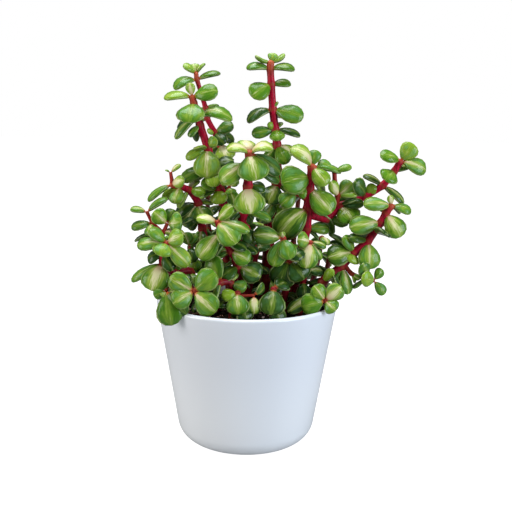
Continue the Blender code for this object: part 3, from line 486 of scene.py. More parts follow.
# The stems and their joints, drawn in the front view. A joint is its x, its z, how far back it
# lies, and its leaves. A leaf is its tip's x and z, how far it comes forward, its width, and
# where they differ from the usual its face share and its arch.
stems = {
    "stem_low_centre": {
        "foot": (-2, -42), "radii": (2, 1.6),
        "shoots": [[
            (-6.5, 98.5, -41, [(-6, 83, 7, 14.5, 0.85), (-17, 95, 2, 8.5, 0.85)]),
        ], [
            (-6, 96, -41, []),
            (4.5, 96.5, -39, [(4.5, 83.5, 5, 10, 0.85), (11, 104, -6, 9)]),
        ]],
    },
    "stem_low_front": {
        "foot": (16, -30), "radii": (2.4, 1.7),
        "shoots": [[
            (17.5, 101.5, -35, [(16, 83.5, 9, 17, 0.85), (26, 105, -8, 12, 0.5)]),
        ]],
    },
    "stem_low_left": {
        "foot": (-9, -32), "radii": (2.5, 1.7),
        "shoots": [[
            (-11, 104.5, -33, [(-0.5, 101, 3, 9, 0.7), (-10, 112, -6, 9, 0.2)]),
            (-17.5, 105, -36, [(-24, 123, -4, 13, 0.6)]),
            (-26, 101, -40, []),
            (-35.5, 99, -43, [
                (-51.5, 108.5, 1, 13, 0.8), (-21, 111.5, 2, 14.5, 0.8), (-49.5, 90, 5, 13.5, 0.8),
                (-20.7, 84.8, 6, 15.5, 0.8),
            ]),
        ]],
    },
    "stem_low_right": {
        "foot": (41, -24), "radii": (2.2, 1.6),
        "shoots": [[
            (46, 97, -28, [(27, 85.3, 4, 9.5, 0.5), (55, 101, -8, 9)]),
            (52, 93.5, -34, [
                (44, 103.5, 1, 10.5, 0.8), (62.5, 103.5, 1, 12, 0.8), (36.5, 88.3, 6, 14.5, 0.8),
                (59.5, 86.5, 5, 10.5, 0.85),
            ]),
        ]],
    },
    "stem_left_front": {
        "foot": (-2, -26), "radii": (2.3, 1.6),
        "shoots": [[
            (-6, 116, -27, [(9, 109, 5, 15, 0.8), (-17, 108.5, 3, 11, 0.6)]),
            (-11.5, 126, -29, [(1.5, 119.5, 4, 12, 0.7), (-22, 122, -6, 11)]),
            (-18, 138, -31, [(-32, 120.5, 4, 14, 0.8)]),
            (-20, 145.5, -32, [
                (-34, 147.5, 2, 9, 0.45), (-9.5, 156, 3, 9.5, 0.6), (-7.5, 131.3, 9, 15.5, 0.75),
                (1, 140.5, -2, 9, 0.5),
            ]),
        ]],
    },
    "stem_front": {
        "foot": (-5, -13), "radii": (3.2, 2.7),
        "shoots": [[
            (-7, 120, -18, [(3, 113, 3, 11, 0.6)]),
            (-5, 142, -23, [(3.5, 132, 3, 11, 0.6)]),
            (-2.5, 153, -25, [(15, 147, 3, 8, 0.4), (-12, 147, -3, 11), (2.5, 145.5, -5, 9, 0.6)]),
            (-0.5, 169, -28, [(1.5, 151, 8, 20, 0.85), (11, 167.5, -3, 9, 0.6)]),
            (0, 183.5, -28, [(-18.5, 171.5, 3, 15.5, 0.6), (20, 172, -3, 13, 0.5)]),
            (0.5, 190, -28, [
                (-14.5, 192, 5, 14.5, 0.3, 0.2), (15.5, 193, 4, 15, 0.35, 0.25),
                (4.5, 172.5, 10, 20, 0.75), (-3, 198, -12, 12, 0.1), (20.5, 177, -3, 13, 0.6),
            ]),
        ]],
    },
    "stem_left_low": {
        "foot": (-29, -14), "radii": (3, 2),
        "shoots": [[
            (-38, 112, -19, [(-44, 103, 7, 12, 0.5), (-36, 103.5, 6, 9, 0.7)]),
            (-48, 111, -25, [(-45, 120, -3, 10, 0.5), (-41, 105, 4, 9)]),
            (-56, 117.5, -29, [(-63.7, 98.7, 9, 19, 0.8), (-77, 105, 1, 8, 0.4)]),
            (-56, 124, -30, [(-66, 119.5, -2, 10, 0.5), (-49.5, 112.5, 6, 9, 0.6)]),
            (-53.5, 131, -31, [
                (-42.5, 136.5, 3, 12, 0.75), (-73, 129, 2, 11, 0.5), (-58, 122.3, 9, 13, 0.8),
                (-38.8, 115.7, 5, 11.5, 0.8), (-65, 140, 2, 10, 0.5),
            ]),
        ], [
            (-54.5, 129, -30, []),
            (-57, 138.5, -26, [(-74.5, 131.8, -1, 8), (-41, 136, -3, 12, 0.5)]),
            (-62.5, 144, -24, [(-76.5, 140.5, 2, 9, 0.55), (-65, 133.8, 4, 10, 0.7)]),
            (-66, 151.3, -23, [(-77, 153, 1, 7, 0.4), (-52.5, 160.5, -2, 8, 0.4)]),
        ], [
            (-56.5, 136, -27, []),
            (-53, 143.5, -25, [(-61.8, 151.8, 4, 11, 0.9), (-43, 145, 3, 14, 0.9), (-49, 153.5, -5, 9)]),
        ], [
            (-48, 111, -25, []),
            (-52, 104.5, -32, []),
            (-54, 99, -39, [
                (-62.3, 95.3, 1, 7, 0.6), (-56, 94.5, 3, 5, 0.5), (-50.2, 75, 8, 16.5, 0.8),
                (-39.5, 84.7, 1, 12, 0.6),
            ]),
        ]],
    },
    "stem_inner_right": {
        "foot": (23, -14), "radii": (2.7, 1.7),
        "shoots": [[
            (27, 110, -18, []),
            (28, 121, -21, [(20.5, 102.3, 6, 18, 0.7), (37.5, 107.5, 4, 17, 0.7)]),
            (23, 135.3, -25, [
                (3.3, 137.5, 2, 12.5, 0.9), (17, 116, 5, 12, 0.8), (28, 121, 9, 12, 0.8),
                (22.5, 139.5, 4, 4, 0.9),
            ]),
        ]],
    },
    "stem_inner_far": {
        "foot": (34, -12), "radii": (2.4, 1.6),
        "shoots": [[
            (38, 113, -17, [(50, 113, -2, 12), (28, 112, -8, 11)]),
            (41, 133, -22, [
                (32.5, 135, 5, 11, 0.95), (38.5, 115, 6, 14, 0.8), (51.7, 129.3, 1, 7, 0.35),
                (48.7, 121, 2, 6, 0.4),
            ]),
        ]],
    },
    "stem_left": {
        "foot": (-2, 0), "radii": (3.5, 2),
        "dense": 190,
        "shoots": [[
            (4, 125, -4, [(-6, 118, 6, 12, 0.5), (13, 132, -8, 11)]),
            (-6, 151, -5, [(-15, 143, 4, 11, 0.5), (3, 158, -6, 10), (-12, 166, 3, 9, 0.6)]),
            (-19, 167, -4, [(-19, 157, 7, 12, 0.7), (-31, 171, 4, 10, 0.6), (-30, 163, 0, 9, 0.4)]),
            (-24, 181, -2, [
                (-44, 172, 4, 11, 0.7), (-9.5, 185, -2, 12, 0.6), (-21.5, 168.5, 7, 11, 0.7),
                (-37, 173.5, 0, 12, 0.6), (-15.5, 171, 5, 12, 0.6),
            ]),
            (-26.5, 193, 0, [
                (-40.7, 186, 2, 8, 0.7), (-35, 192.5, 7, 9, 0.1), (-21, 199.5, 3, 8, 0.8),
                (-27, 174, 9, 18, 0.8),
            ]),
            (-31.5, 207.5, 2, [(-38.5, 200, 6, 6.5, 0.5), (-34.5, 197.5, -5, 7, 0.6)]),
            (-33, 213, 2, [
                (-10.7, 211, 4, 12.5, 0.5, 0.25), (-47.5, 198.5, 3, 9, 0.4), (-46, 206, -6, 9, 0.4),
            ]),
            (-35.5, 221.5, 2, [(-38.5, 208.8, 13, 19, 0.7), (-33, 214, -9, 7, 0.2)]),
            (-36.5, 225.2, 2, [
                (-54.7, 224.2, 1, 12, 0.4, 0.1), (-20, 229, 4, 12.5, 0.8), (-38.3, 234, 2, 6.5, 0.8),
            ]),
        ], [
            (-14.5, 161, -5, []),
            (-12.5, 168.5, -10, [
                (-7.5, 173, 2, 6.5, 0.7), (-16.5, 173.5, 1, 7, 0.7), (-11, 163.5, 3, 7.5, 0.8),
            ]),
        ]],
    },
    "stem_right": {
        "foot": (28, 2), "radii": (3.5, 2.8),
        "shoots": [[
            (34, 117, -3, [(24, 122, -8, 12), (45, 120, -6, 12)]),
            (38, 142, -7, [(45, 136, -8, 11), (53.5, 141.5, -3, 10, 0.6)]),
            (39, 155, -8, [(18.5, 136, 8, 20, 0.75, 0.2)]),
            (39.5, 168, -8, [(54.3, 152, 8, 17, 0.8)]),
            (40.5, 175, -8, [(21, 171.5, 8, 20.5, 0.85), (50, 164, -6, 13, 0.5)]),
            (41, 182, -8, [
                (26.5, 193.8, 4, 13.5, 0.6, 0.22), (60, 178.5, -2, 8, 0.35, 0.1), (50.5, 170, 8, 12, 0.8),
                (43, 193, -3, 9, 0.7),
            ]),
        ], [
            (40, 151, -7, []),
            (51.5, 148.5, -5, [(66, 145.5, 2, 8, 0.2)]),
            (60, 157, -3, [
                (68.5, 146.8, 7, 17, 0.85), (75.5, 158.5, 5, 9, 0.6), (71, 161.5, 7, 6.5, 0.5),
            ]),
            (68, 160.3, -2.5, [(57.5, 161, 5, 7, 0.6), (72, 168, -3, 8)]),
            (76, 163.5, -2, [(68.5, 173.5, 9, 11.5, 0.8), (82.5, 171, 1, 8, 0.8)]),
            (87, 170.5, -2, [(74, 177, -2, 10), (101.5, 158.7, 3, 9, 0.45)]),
            (94, 179.5, -2, [(88.5, 174, 12, 13.5, 0.35), (103, 183.7, -6, 7, 0.2)]),
            (98, 186.5, -2, [
                (106.3, 197.6, 2, 12.5, 0.85), (84.5, 190.4, 4, 11, 0.6), (115, 180, 2, 12, 0.8, 0.15),
            ]),
        ], [
            (56.5, 154.5, -3, []),
            (58, 163, -6, [(53.2, 173, 5, 8, 0.8), (68, 172, -1, 12, 0.7), (71.5, 164.5, 4, 7)]),
            (56, 172, -8, []),
            (55.5, 179, -7, [(66.7, 182.5, 1, 6.5, 0.6), (44.7, 185.3, -1, 9.5, 0.6)]),
        ], [
            (39.3, 160, -8, []),
            (31, 165, -12, [(21, 157, 4, 11.5, 0.9), (38, 164.5, 2, 7.5, 0.6)]),
        ]],
    },
    "stem_far_right": {
        "foot": (44, -14), "radii": (3.2, 2.1),
        "shoots": [[
            (50, 106, -20, [(43, 106, -10, 12), (57, 114.7, 5, 7, 0.6)]),
            (62, 116.7, -17, [(67, 97.7, 7, 10, 0.6), (59.5, 103, 4, 9, 0.6)]),
            (70, 126, -15, [
                (62.7, 137.3, 2, 9, 0.7), (69, 118.8, 6, 10, 0.6), (52.5, 122.3, 5, 15.5, 0.6),
                (53, 138.5, -7, 9), (54, 133.5, -6, 9, 0.4),
            ]),
            (79, 134, -14, [(80.7, 115, 7, 15, 0.9), (65.5, 136.5, 1, 8, 0.5)]),
            (87, 146.3, -12, [(66.3, 142.7, 5, 14, 0.7), (94, 141, -9, 8)]),
            (90, 152.5, -12, [(100.6, 136.8, 6, 14.5, 0.9), (80, 158.5, -12, 8)]),
            (93.5, 157.5, -12, [
                (92, 164.5, 2, 5, 0.9), (75, 158, 4, 11, 0.6), (106.7, 153.5, 1, 10, 0.5),
                (98, 153.5, -8, 8),
            ]),
        ], [
            (64, 118, -17, []),
            (69, 112, -19, [(75, 108.5, 2, 4.5, 0.4)]),
            (78, 109, -20, [(75.5, 120, 2, 10, 0.7)]),
            (84, 107.5, -20, [
                (74.7, 110.7, 3, 10.5, 0.8), (89, 115.7, -2, 7, 0.8), (91.5, 98, 3, 8, 0.7),
            ]),
        ]],
    },
    "stem_left_side": {
        "foot": (-20, -2), "radii": (3.1, 1.8),
        "shoots": [[
            (-26, 120, -6, [(-36, 112, 6, 11, 0.5), (-17, 126, -6, 11)]),
            (-30, 141, -8, [(-24, 132, -10, 12)]),
            (-32.5, 157.5, -8, [
                (-42, 142, 1, 13, 0.6), (-24, 158, -6, 11), (-29, 144.7, 5, 15.5, 0.8),
                (-47.5, 149.5, -2, 11, 0.6), (-37.8, 139.5, -3, 9, 0.6),
            ]),
            (-38.5, 166, -8, [(-45.7, 154, 4, 7, 0.4), (-33, 172, -6, 10), (-28, 164, 3, 9, 0.5)]),
            (-44, 168, -9, [(-47.8, 156.8, 6, 11, 0.7), (-56, 160, -3, 7, 0.7)]),
            (-50, 169.5, -10, [(-65.5, 158.3, 1, 8, 0.25, 0.08), (-41.5, 172, 5, 9, 0.6)]),
        ], [
            (-49.3, 169.5, -10, []),
            (-50.5, 177, -10, [(-43.8, 182.3, 1, 4.5, 0.5), (-54, 178.8, -1, 3, 0)]),
        ], [
            (-28, 124, -7, []),
            (-36.5, 123, -12, [(-33.5, 113, 3, 10, 0.6)]),
            (-38.5, 129, -14, [
                (-41, 138.5, 2, 9, 0.6), (-33.5, 137.5, 0, 7, 0.5), (-36, 118, 5, 9, 0.7),
            ]),
        ]],
    },
    "stem_tall": {
        "foot": (11, 8), "radii": (3.5, 2.2),
        "dense": 190,
        "shoots": [[
            (12, 108, 6, []),
            (15, 138, 8, [(3, 131, 0, 11), (27, 144, -4, 11)]),
            (17.5, 159, 8, [(11, 148, 10, 9, 0.5), (24, 150, 6, 10, 0.4)]),
            (18, 171, 8, [(13.3, 157.3, 10, 15.5, 0.8), (29, 162, -4, 11)]),
            (18.5, 180, 8, [(10, 176, 4, 10, 0.5)]),
            (18, 195.5, 8, [
                (24.2, 183.5, 9, 10.5, 0.9), (28.3, 189.5, 3, 10.5, 0.65), (11, 184.5, 1, 9, 0.6),
                (12, 194, -12, 10, 0.2),
            ]),
            (16.7, 205.2, 8, [
                (1.5, 202.3, 1, 8.5, 0.95), (33, 201.6, -1, 10, 0.35), (18.8, 198.5, 9, 10.5, 0.7),
                (11.8, 209.5, 3, 5, 0.9), (21, 210, -5, 4.5),
            ]),
            (14.9, 218, 8, [
                (-1.5, 209.8, 1, 12, 0.45, 0.16), (34.6, 213, 5, 13.2, 0.85), (18.3, 223, 2, 3, 0.5),
                (20, 213, -12, 11),
            ]),
            (13.6, 233.6, 8, [(0.8, 226, 8, 14, 0.85), (26.2, 234.2, -2, 9, 0.5)]),
            (12.8, 243.2, 8, [(-2.5, 243.5, 1, 11, 0.4, 0.12), (28.5, 243, 1, 11, 0.4, 0.12)]),
            (12.9, 247, 8, [
                (3.1, 251.2, 3, 6, 0.1, -0.1), (21.8, 252.6, -2, 6, 0.25, -0.1), (15, 253, -2, 7, 0.6),
            ]),
        ]],
    },
    "stem_left_back": {
        "foot": (-12, 20), "radii": (2.8, 1.4),
        "dense": 190,
        "shoots": [[
            (-14, 120, 24, [(-27, 116, 2, 12), (-3, 124, -2, 12)]),
            (-17, 150, 24, [(-14, 140, -14, 12), (-20, 142, 12, 12)]),
            (-18, 176, 24, [(-30, 170, 2, 12), (-6, 171, -2, 12)]),
            (-18.2, 195.5, 24, [(-13.5, 185.5, 9, 14.5, 0.75), (-24, 188, -11, 12)]),
            (-22, 203, 24, [
                (-10, 208, 2, 10.5, 0.7), (-16, 195.5, 7, 10, 0.7), (-9.5, 197.5, -3, 9, 0.6),
                (-26.8, 203.6, 4, 6, 0.7),
            ]),
            (-27, 212, 24, [(-33, 208, -4, 6, 0.2), (-22, 214.5, -4, 6, 0.2)]),
            (-28, 218.5, 24, [(-19.5, 220, -3, 7, 0.1), (-34, 216, -3, 6, 0.2)]),
            (-33.5, 236, 24, [(-48.3, 230, 4, 12, 0.5, 0.18), (-18.5, 240.2, -2, 10, 0.33, 0.08)]),
            (-34, 239.5, 24, [
                (-42.3, 245, 3, 8, 0.5), (-28.3, 246, -2, 5, 0.1), (-36, 245.6, -3, 8, 0.5),
            ]),
        ]],
    },
}

# stems at the back and sides, which grow by rule: foot, lean, number of joints
grownStems = {
    "stem_back_left": ((-25, 31), (-0.1, 0.4), 6),
    "stem_back": ((2, 42), (0.0, 0.3), 5),
    "stem_back_right": ((27, 32), (0.2, 0.4), 6),
    "stem_behind_middle": ((11, 27), (0.05, 0.2), 5),
    "stem_side_right": ((48, 6), (0.3, 0.2), 3),
    "stem_back_side_right": ((43, 22), (0.3, 0.35), 4),
    "stem_side_left": ((-47, 4), (-0.35, 0.1), 3),
    "stem_back_side_left": ((-41, 20), (-0.3, 0.35), 4),
}

# how the stems grow. These are the part's own values, so that each leaf lies on its solid
growth = {
    "seed": 7,
    "eyeDistance": 464.0,
    "eyeHeight": 202.0,
    "stemFoot": 72.0,
    "stemCollar": 90.0,
    "shootShare": 0.75,
    "twigShare": 0.5,
    "twigJoints": 4,
    "radii": (2.4, 1.6),
    "jointSpacing": 12.0,
    "jointSpacingVaries": 0.15,
    "straightens": 0.12,
    "leafLength": 17.0,
    "leafShortens": 0.45,
    "leafWidths": (0.76, 0.9),
    "leafFace": 0.1,
    "droops": (-0.9, 0.1),
    "bareStretch": 13.0,
    "denseBelow": 160.0,
    "fillingLeafLength": 14.0,
    "partnerLength": 0.9,
    "partnerWidth": 0.85,
    "partnerFace": 0.1,
    "bends": (0, 2, -2, 4, -4, 6, -6, 9, -9),
    "sizes": (1.0, 0.88, 0.76, 0.64),
}

leafForm = {
    "thickness": 3.0,
    "fullThicknessLength": 12.0,
    "face": 0.3,
    "arch": 0.08,
    "rise": 0.9,
    "fall": 0.5,
    "rootOffset": 0.8,
    "flatness": 0.6,
    "towardsFront": Vector((0, -1, 0.25)).normalized(),
    "partSides": 4,
    "partRings": 3,
    "sides": 8,
    "rings": 8,
    "meets": 0.03,
}


class Leaf:
    def __init__(self, root, tip, width, stemWay, face=leafForm["face"], arch=leafForm["arch"]):
        self.root = root
        self.tip = tip
        self.width = width
        self.stemWay = stemWay
        self.face = face
        self.arch = arch
        self.look = None

    def changed(self, bend, size):
        leaf = copy(self)
        leaf.tip = self.root + (self.tip - self.root) * size
        leaf.tip.y -= bend
        leaf.width *= size
        return leaf

    def length(self):
        return (self.tip - self.root).length

    def ways(self):
        # along the leaf, across it and out of its upper side
        along = (self.tip - self.root).normalized()
        upper = self.stemWay.lerp(leafForm["towardsFront"], self.face)
        upper = (upper - along * upper.dot(along)).normalized()
        return along, along.cross(upper), upper

    def surface(self):
        # gives the point at a height on a unit ball and a way round it, pole to pole from the
        # leaf's root to its tip
        along, across, upper = self.ways()
        halfWidth = self.width / 2
        halfThickness = leafForm["thickness"] / 2 * min(1, self.length() / leafForm["fullThicknessLength"])
        length = self.length() - leafForm["rootOffset"]
        root = self.root + along * leafForm["rootOffset"]

        def point(height, sideways, outwards):
            share = (1 + height) / 2
            reach = halfWidth * outline(share) * sideways
            flat = math.copysign(abs(outwards) ** leafForm["flatness"], outwards)
            rise = halfThickness * math.sqrt(max(1 - height**4, 0)) * flat
            rise += self.arch * length * 4 * share * (1 - share)
            return root + along * length * share + across * reach + upper * rise

        return point

    def partCorners(self):
        point = self.surface()
        corners = [self.tip]
        for ring in range(1, leafForm["partRings"]):
            height = math.cos(math.pi * ring / leafForm["partRings"])
            for side in range(leafForm["partSides"]):
                angle = 2 * math.pi * side / leafForm["partSides"]
                corners.append(point(height, math.cos(angle), math.sin(angle)))
        return corners


def outline(share):
    # a leaf's half width at a share of its length, where its widest place is 1
    rise, fall = leafForm["rise"], leafForm["fall"]
    peak = rise / (rise + fall)
    widest = peak**rise * (1 - peak) ** fall
    return share**rise * max(1 - share, 0) ** fall / widest


def placed(x, z, back):
    nearness = (growth["eyeDistance"] + back) / growth["eyeDistance"]
    return Vector((x * nearness, back, growth["eyeHeight"] + (z - growth["eyeHeight"]) * nearness))


def direction(points, index):
    before = points[max(index - 1, 0)]
    after = points[index] if index > 0 else points[1]
    return (after - before).normalized()


def partner(leaf):
    way = leaf.stemWay
    reach = leaf.tip - leaf.root
    upTheStem = way * reach.dot(way)
    tip = leaf.root + upTheStem - (reach - upTheStem) * growth["partnerLength"]
    width = leaf.width * growth["partnerWidth"]
    return Leaf(leaf.root, tip, width, way, growth["partnerFace"], leaf.arch)


def drawnLeaves(joint, root, way):
    leaves = []
    for x, z, forward, width, *turns in joint[3]:
        leaves.append(Leaf(root, placed(x, z, joint[2] - forward), width, way, *turns))
        leaves[-1].look = lookAt.get((x, z))
    if len(leaves) == 1:
        leaves.append(partner(leaves[0]))
    return leaves


def pairAcross(root, way, turn, length, chance):
    side = way.orthogonal().normalized()
    side.rotate(Matrix.Rotation(turn, 3, way))
    pair = []
    for sign in (1, -1):
        reach = (side * sign + way * chance.uniform(*growth["droops"])).normalized() * length
        width = length * chance.uniform(*growth["leafWidths"])
        pair.append(Leaf(root, root + reach, width, way, growth["leafFace"]))
    return pair


def fillingPairs(points, denseBelow, chance):
    pairs = []
    for start, end in zip(points, points[1:]):
        stretch = end - start
        count = int(stretch.length / growth["bareStretch"])
        for number in range(count):
            root = start + stretch * (number + 0.5) / count
            if root.z < denseBelow:
                turn = chance.uniform(0, math.pi)
                way = stretch.normalized()
                pair = pairAcross(root, way, turn, growth["fillingLeafLength"], chance)
                for leaf in pair:
                    # the filling leaves inside the plant get a near-deepest tone: painted shade
                    leaf.look = leafLook["shadedInside"]
                pairs.append(pair)
    return pairs


def uprightFoot(foot):
    return [Vector((*foot, growth["stemFoot"])), Vector((*foot, growth["stemCollar"]))]


def drawnStem(stem, chance):
    lines = []
    joints = []
    for number, shoot in enumerate(stem["shoots"]):
        points = [placed(*joint[:3]) for joint in shoot]
        if number == 0:
            points = uprightFoot(stem["foot"]) + points
        lines.append(points)
        first = len(points) - len(shoot)
        for index, joint in enumerate(shoot):
            place = first + index
            joints.append(drawnLeaves(joint, points[place], direction(points, place)))
    joints += fillingPairs(lines[0][1:], stem.get("dense", growth["denseBelow"]), chance)
    return lines, joints, stem["radii"]


def grownStem(foot, lean, count, chance):
    points = uprightFoot(foot)
    joints = []
    way = Vector((*lean, 1)).normalized()
    turn = chance.uniform(0, math.pi)
    varies = growth["jointSpacingVaries"]
    for number in range(count):
        way = (way + Vector((0, 0, growth["straightens"]))).normalized()
        spacing = growth["jointSpacing"] * chance.uniform(1 - varies, 1 + varies)
        points.append(points[-1] + way * spacing)
        length = growth["leafLength"] * (1 - growth["leafShortens"] * number / count)
        joints.append(pairAcross(points[-1], way, turn + number * math.pi / 2, length, chance))
    return [points], joints, growth["radii"]


def stemPlans():
    # each stem's lines of points, joints of leaves, and radii at its foot and tip
    chance = random.Random(growth["seed"])
    plans = {name: drawnStem(stem, chance) for name, stem in stems.items()}
    for name, (foot, lean, count) in grownStems.items():
        plans[name] = grownStem(foot, lean, count, chance)
    return plans


stemForm = {
    "sides": 12,
    "step": 2.5,
    "jointSwell": 0.2,
    "jointReach": 1.6,
    "curve": 0.5,  # 0 is straight from joint to joint, 1 fully curved
    "tipLength": 0.6,  # in radii
    "tipRings": ((0.6, 0.75), (1, 0.3)),  # each one's place along the tip and share of the radius
    "crimson": rgb(186, 12, 50),
    "crimsonDark": rgb(128, 8, 30),
    # darker browns in place of crimson for the stems at the back and sides: painted shade
    "stemInPaintedShade": rgb(104, 36, 26),
    "stemInDeepPaintedShade": rgb(58, 34, 18),
    "oldWood": rgb(92, 26, 24),
    "scar": rgb(150, 62, 36),
    "youngEnd": rgb(196, 104, 60),
    "twig": rgb(150, 50, 30),
    "roughness": 0.42,
}


def smoothed(points, radii):
    # rings along a line: places, radii and how near each is to a joint
    rings = []
    last = len(points) - 1
    for index in range(last):
        a = points[max(index - 1, 0)]
        b, c = points[index], points[index + 1]
        d = points[min(index + 2, last)]
        steps = max(2, round((c - b).length / stemForm["step"]))
        for step in range(steps + (index == last - 1)):
            t = step / steps
            curve = 0.5 * (2 * b + (c - a) * t + (2 * a - 5 * b + 4 * c - d) * t * t
                           + (3 * b - a - 3 * c + d) * t**3)
            place = b.lerp(c, t).lerp(curve, stemForm["curve"])
            share = (index + t) / last
            radius = radii[0] + (radii[1] - radii[0]) * share
            nearest = min((place - b).length, (place - c).length)
            joint = math.exp(-((nearest / stemForm["jointReach"]) ** 2))
            rings.append((place, radius * (1 + stemForm["jointSwell"] * joint), joint))
    return rings


def addTube(mesh, rings, layer, twig):
    # a ring of vertices drawn out along the line, with a round end
    sides = stemForm["sides"]
    loop = bmesh.ops.create_circle(mesh, cap_ends=True, segments=sides, radius=1)["verts"]
    shapes = [vertex.co.copy() for vertex in loop]
    edges = [edge for edge in mesh.edges if edge.verts[0] in loop and edge.verts[1] in loop]
    end, thick, _ = rings[-1]
    tip = end + (end - rings[-2][0]).normalized() * thick * stemForm["tipLength"]
    rings = rings + [(end.lerp(tip, reach), thick * share, 0) for reach, share in stemForm["tipRings"]]
    side = None
    for index, (place, radius, joint) in enumerate(rings):
        if index > 0:
            drawn = bmesh.ops.extrude_edge_only(mesh, edges=edges)["geom"]
            loop = [part for part in drawn if isinstance(part, bmesh.types.BMVert)]
            edges = [part for part in drawn if isinstance(part, bmesh.types.BMEdge)
                     and part.verts[0] in loop and part.verts[1] in loop]
        before = rings[max(index - 1, 0)][0]
        after = rings[min(index + 1, len(rings) - 1)][0]
        way = (after - before).normalized()
        side = (side - way * side.dot(way)).normalized() if side else way.orthogonal().normalized()
        up = way.cross(side)
        for vertex, shape in zip(loop, shapes):
            vertex.co = place + (side * shape.x + up * shape.y) * radius
            vertex[layer] = (joint, twig, index / len(rings))
    bmesh.ops.edgeloop_fill(mesh, edges=edges)


def stemFinish(title, bright, dark):
    finish = Finish(title, Coat_Weight=0.12, Coat_Roughness=0.25, Specular_IOR_Level=0.12)
    place = finish.place()
    height = finish.parts(place)[2]
    streaks = finish.noise(finish.stretched(place, (1, 1, 0.18)), 700.0, 3.0)
    colour = finish.mixed(stemForm[bright], stemForm[dark], streaks.step(0.4, 0.7))
    patches = finish.noise(place, 60.0)
    low = (height + (patches - 0.5) * 0.06).step(0.15, 0.09)
    colour = finish.mixed(colour, stemForm["oldWood"], low * 0.8)
    joint, twig, share = finish.parts(finish.attribute("wood"))
    colour = finish.mixed(colour, stemForm["twig"], twig * 0.7)
    colour = finish.mixed(colour, stemForm["scar"], joint.step(0.4, 0.9) * 0.65)
    colour = finish.mixed(colour, stemForm["youngEnd"], share.step(0.88, 1.0) * 0.85)
    finish.set(Base_Color=colour, Roughness=stemForm["roughness"] + streaks * 0.15)
    finish.set(Normal=finish.bump(streaks, 0.25, 0.4))
    return finish


leafLook = {
    "fresh": rgb(134, 172, 34),
    "green": rgb(80, 134, 16),
    # the deepest green, darker than the leaves' own colour where leaves lie in shadow: partly painted shade
    "deep": rgb(28, 64, 8),
    "cream": rgb(232, 226, 176),
    "creamPink": rgb(222, 186, 150),
    "yellowGreen": rgb(156, 182, 62),
    # a thin pale line near the margin: partly the leaf's own pale margin, partly painted highlight
    "edge": rgb(206, 220, 144),
    # a pale mint colour on the upper shoulders of the leaves: painted highlight
    "paintedSheen": rgb(122, 180, 118),
    # a dark green line where the margin turns away from the upper side: painted shade
    "rim": rgb(36, 84, 14),
    # the underside's olive: partly its own duller colour, partly painted shade
    "underOliveAndShade": rgb(70, 104, 36),
    "base": rgb(208, 92, 52),
    "roughness": 0.36,
    "seed": 5,
    "topHeight": 250.0,
    "lowHeight": 85.0,
    # the tone and stripe of the filling leaves inside the plant, dark as painted shade
    "shadedInside": (0.02, 0.05),
    "varies": 0.08,
    "stripeVaries": (0.8, 1.2),
    # the rest of the leaves: tones by height and by youth, and stripes by a draw
    "toneLow": 0.2,
    "toneByHeight": 0.35,
    "toneByYouth": 0.6,
    "toneDraw": (-0.2, 0.3),
    "youngLength": 12.0,
    "plain": 0.1,  # the share of leaves without a stripe
    "striped": 0.8,
    "stripe": (0.06, 0.32),
    "wideStripe": (0.4, 0.8),
}
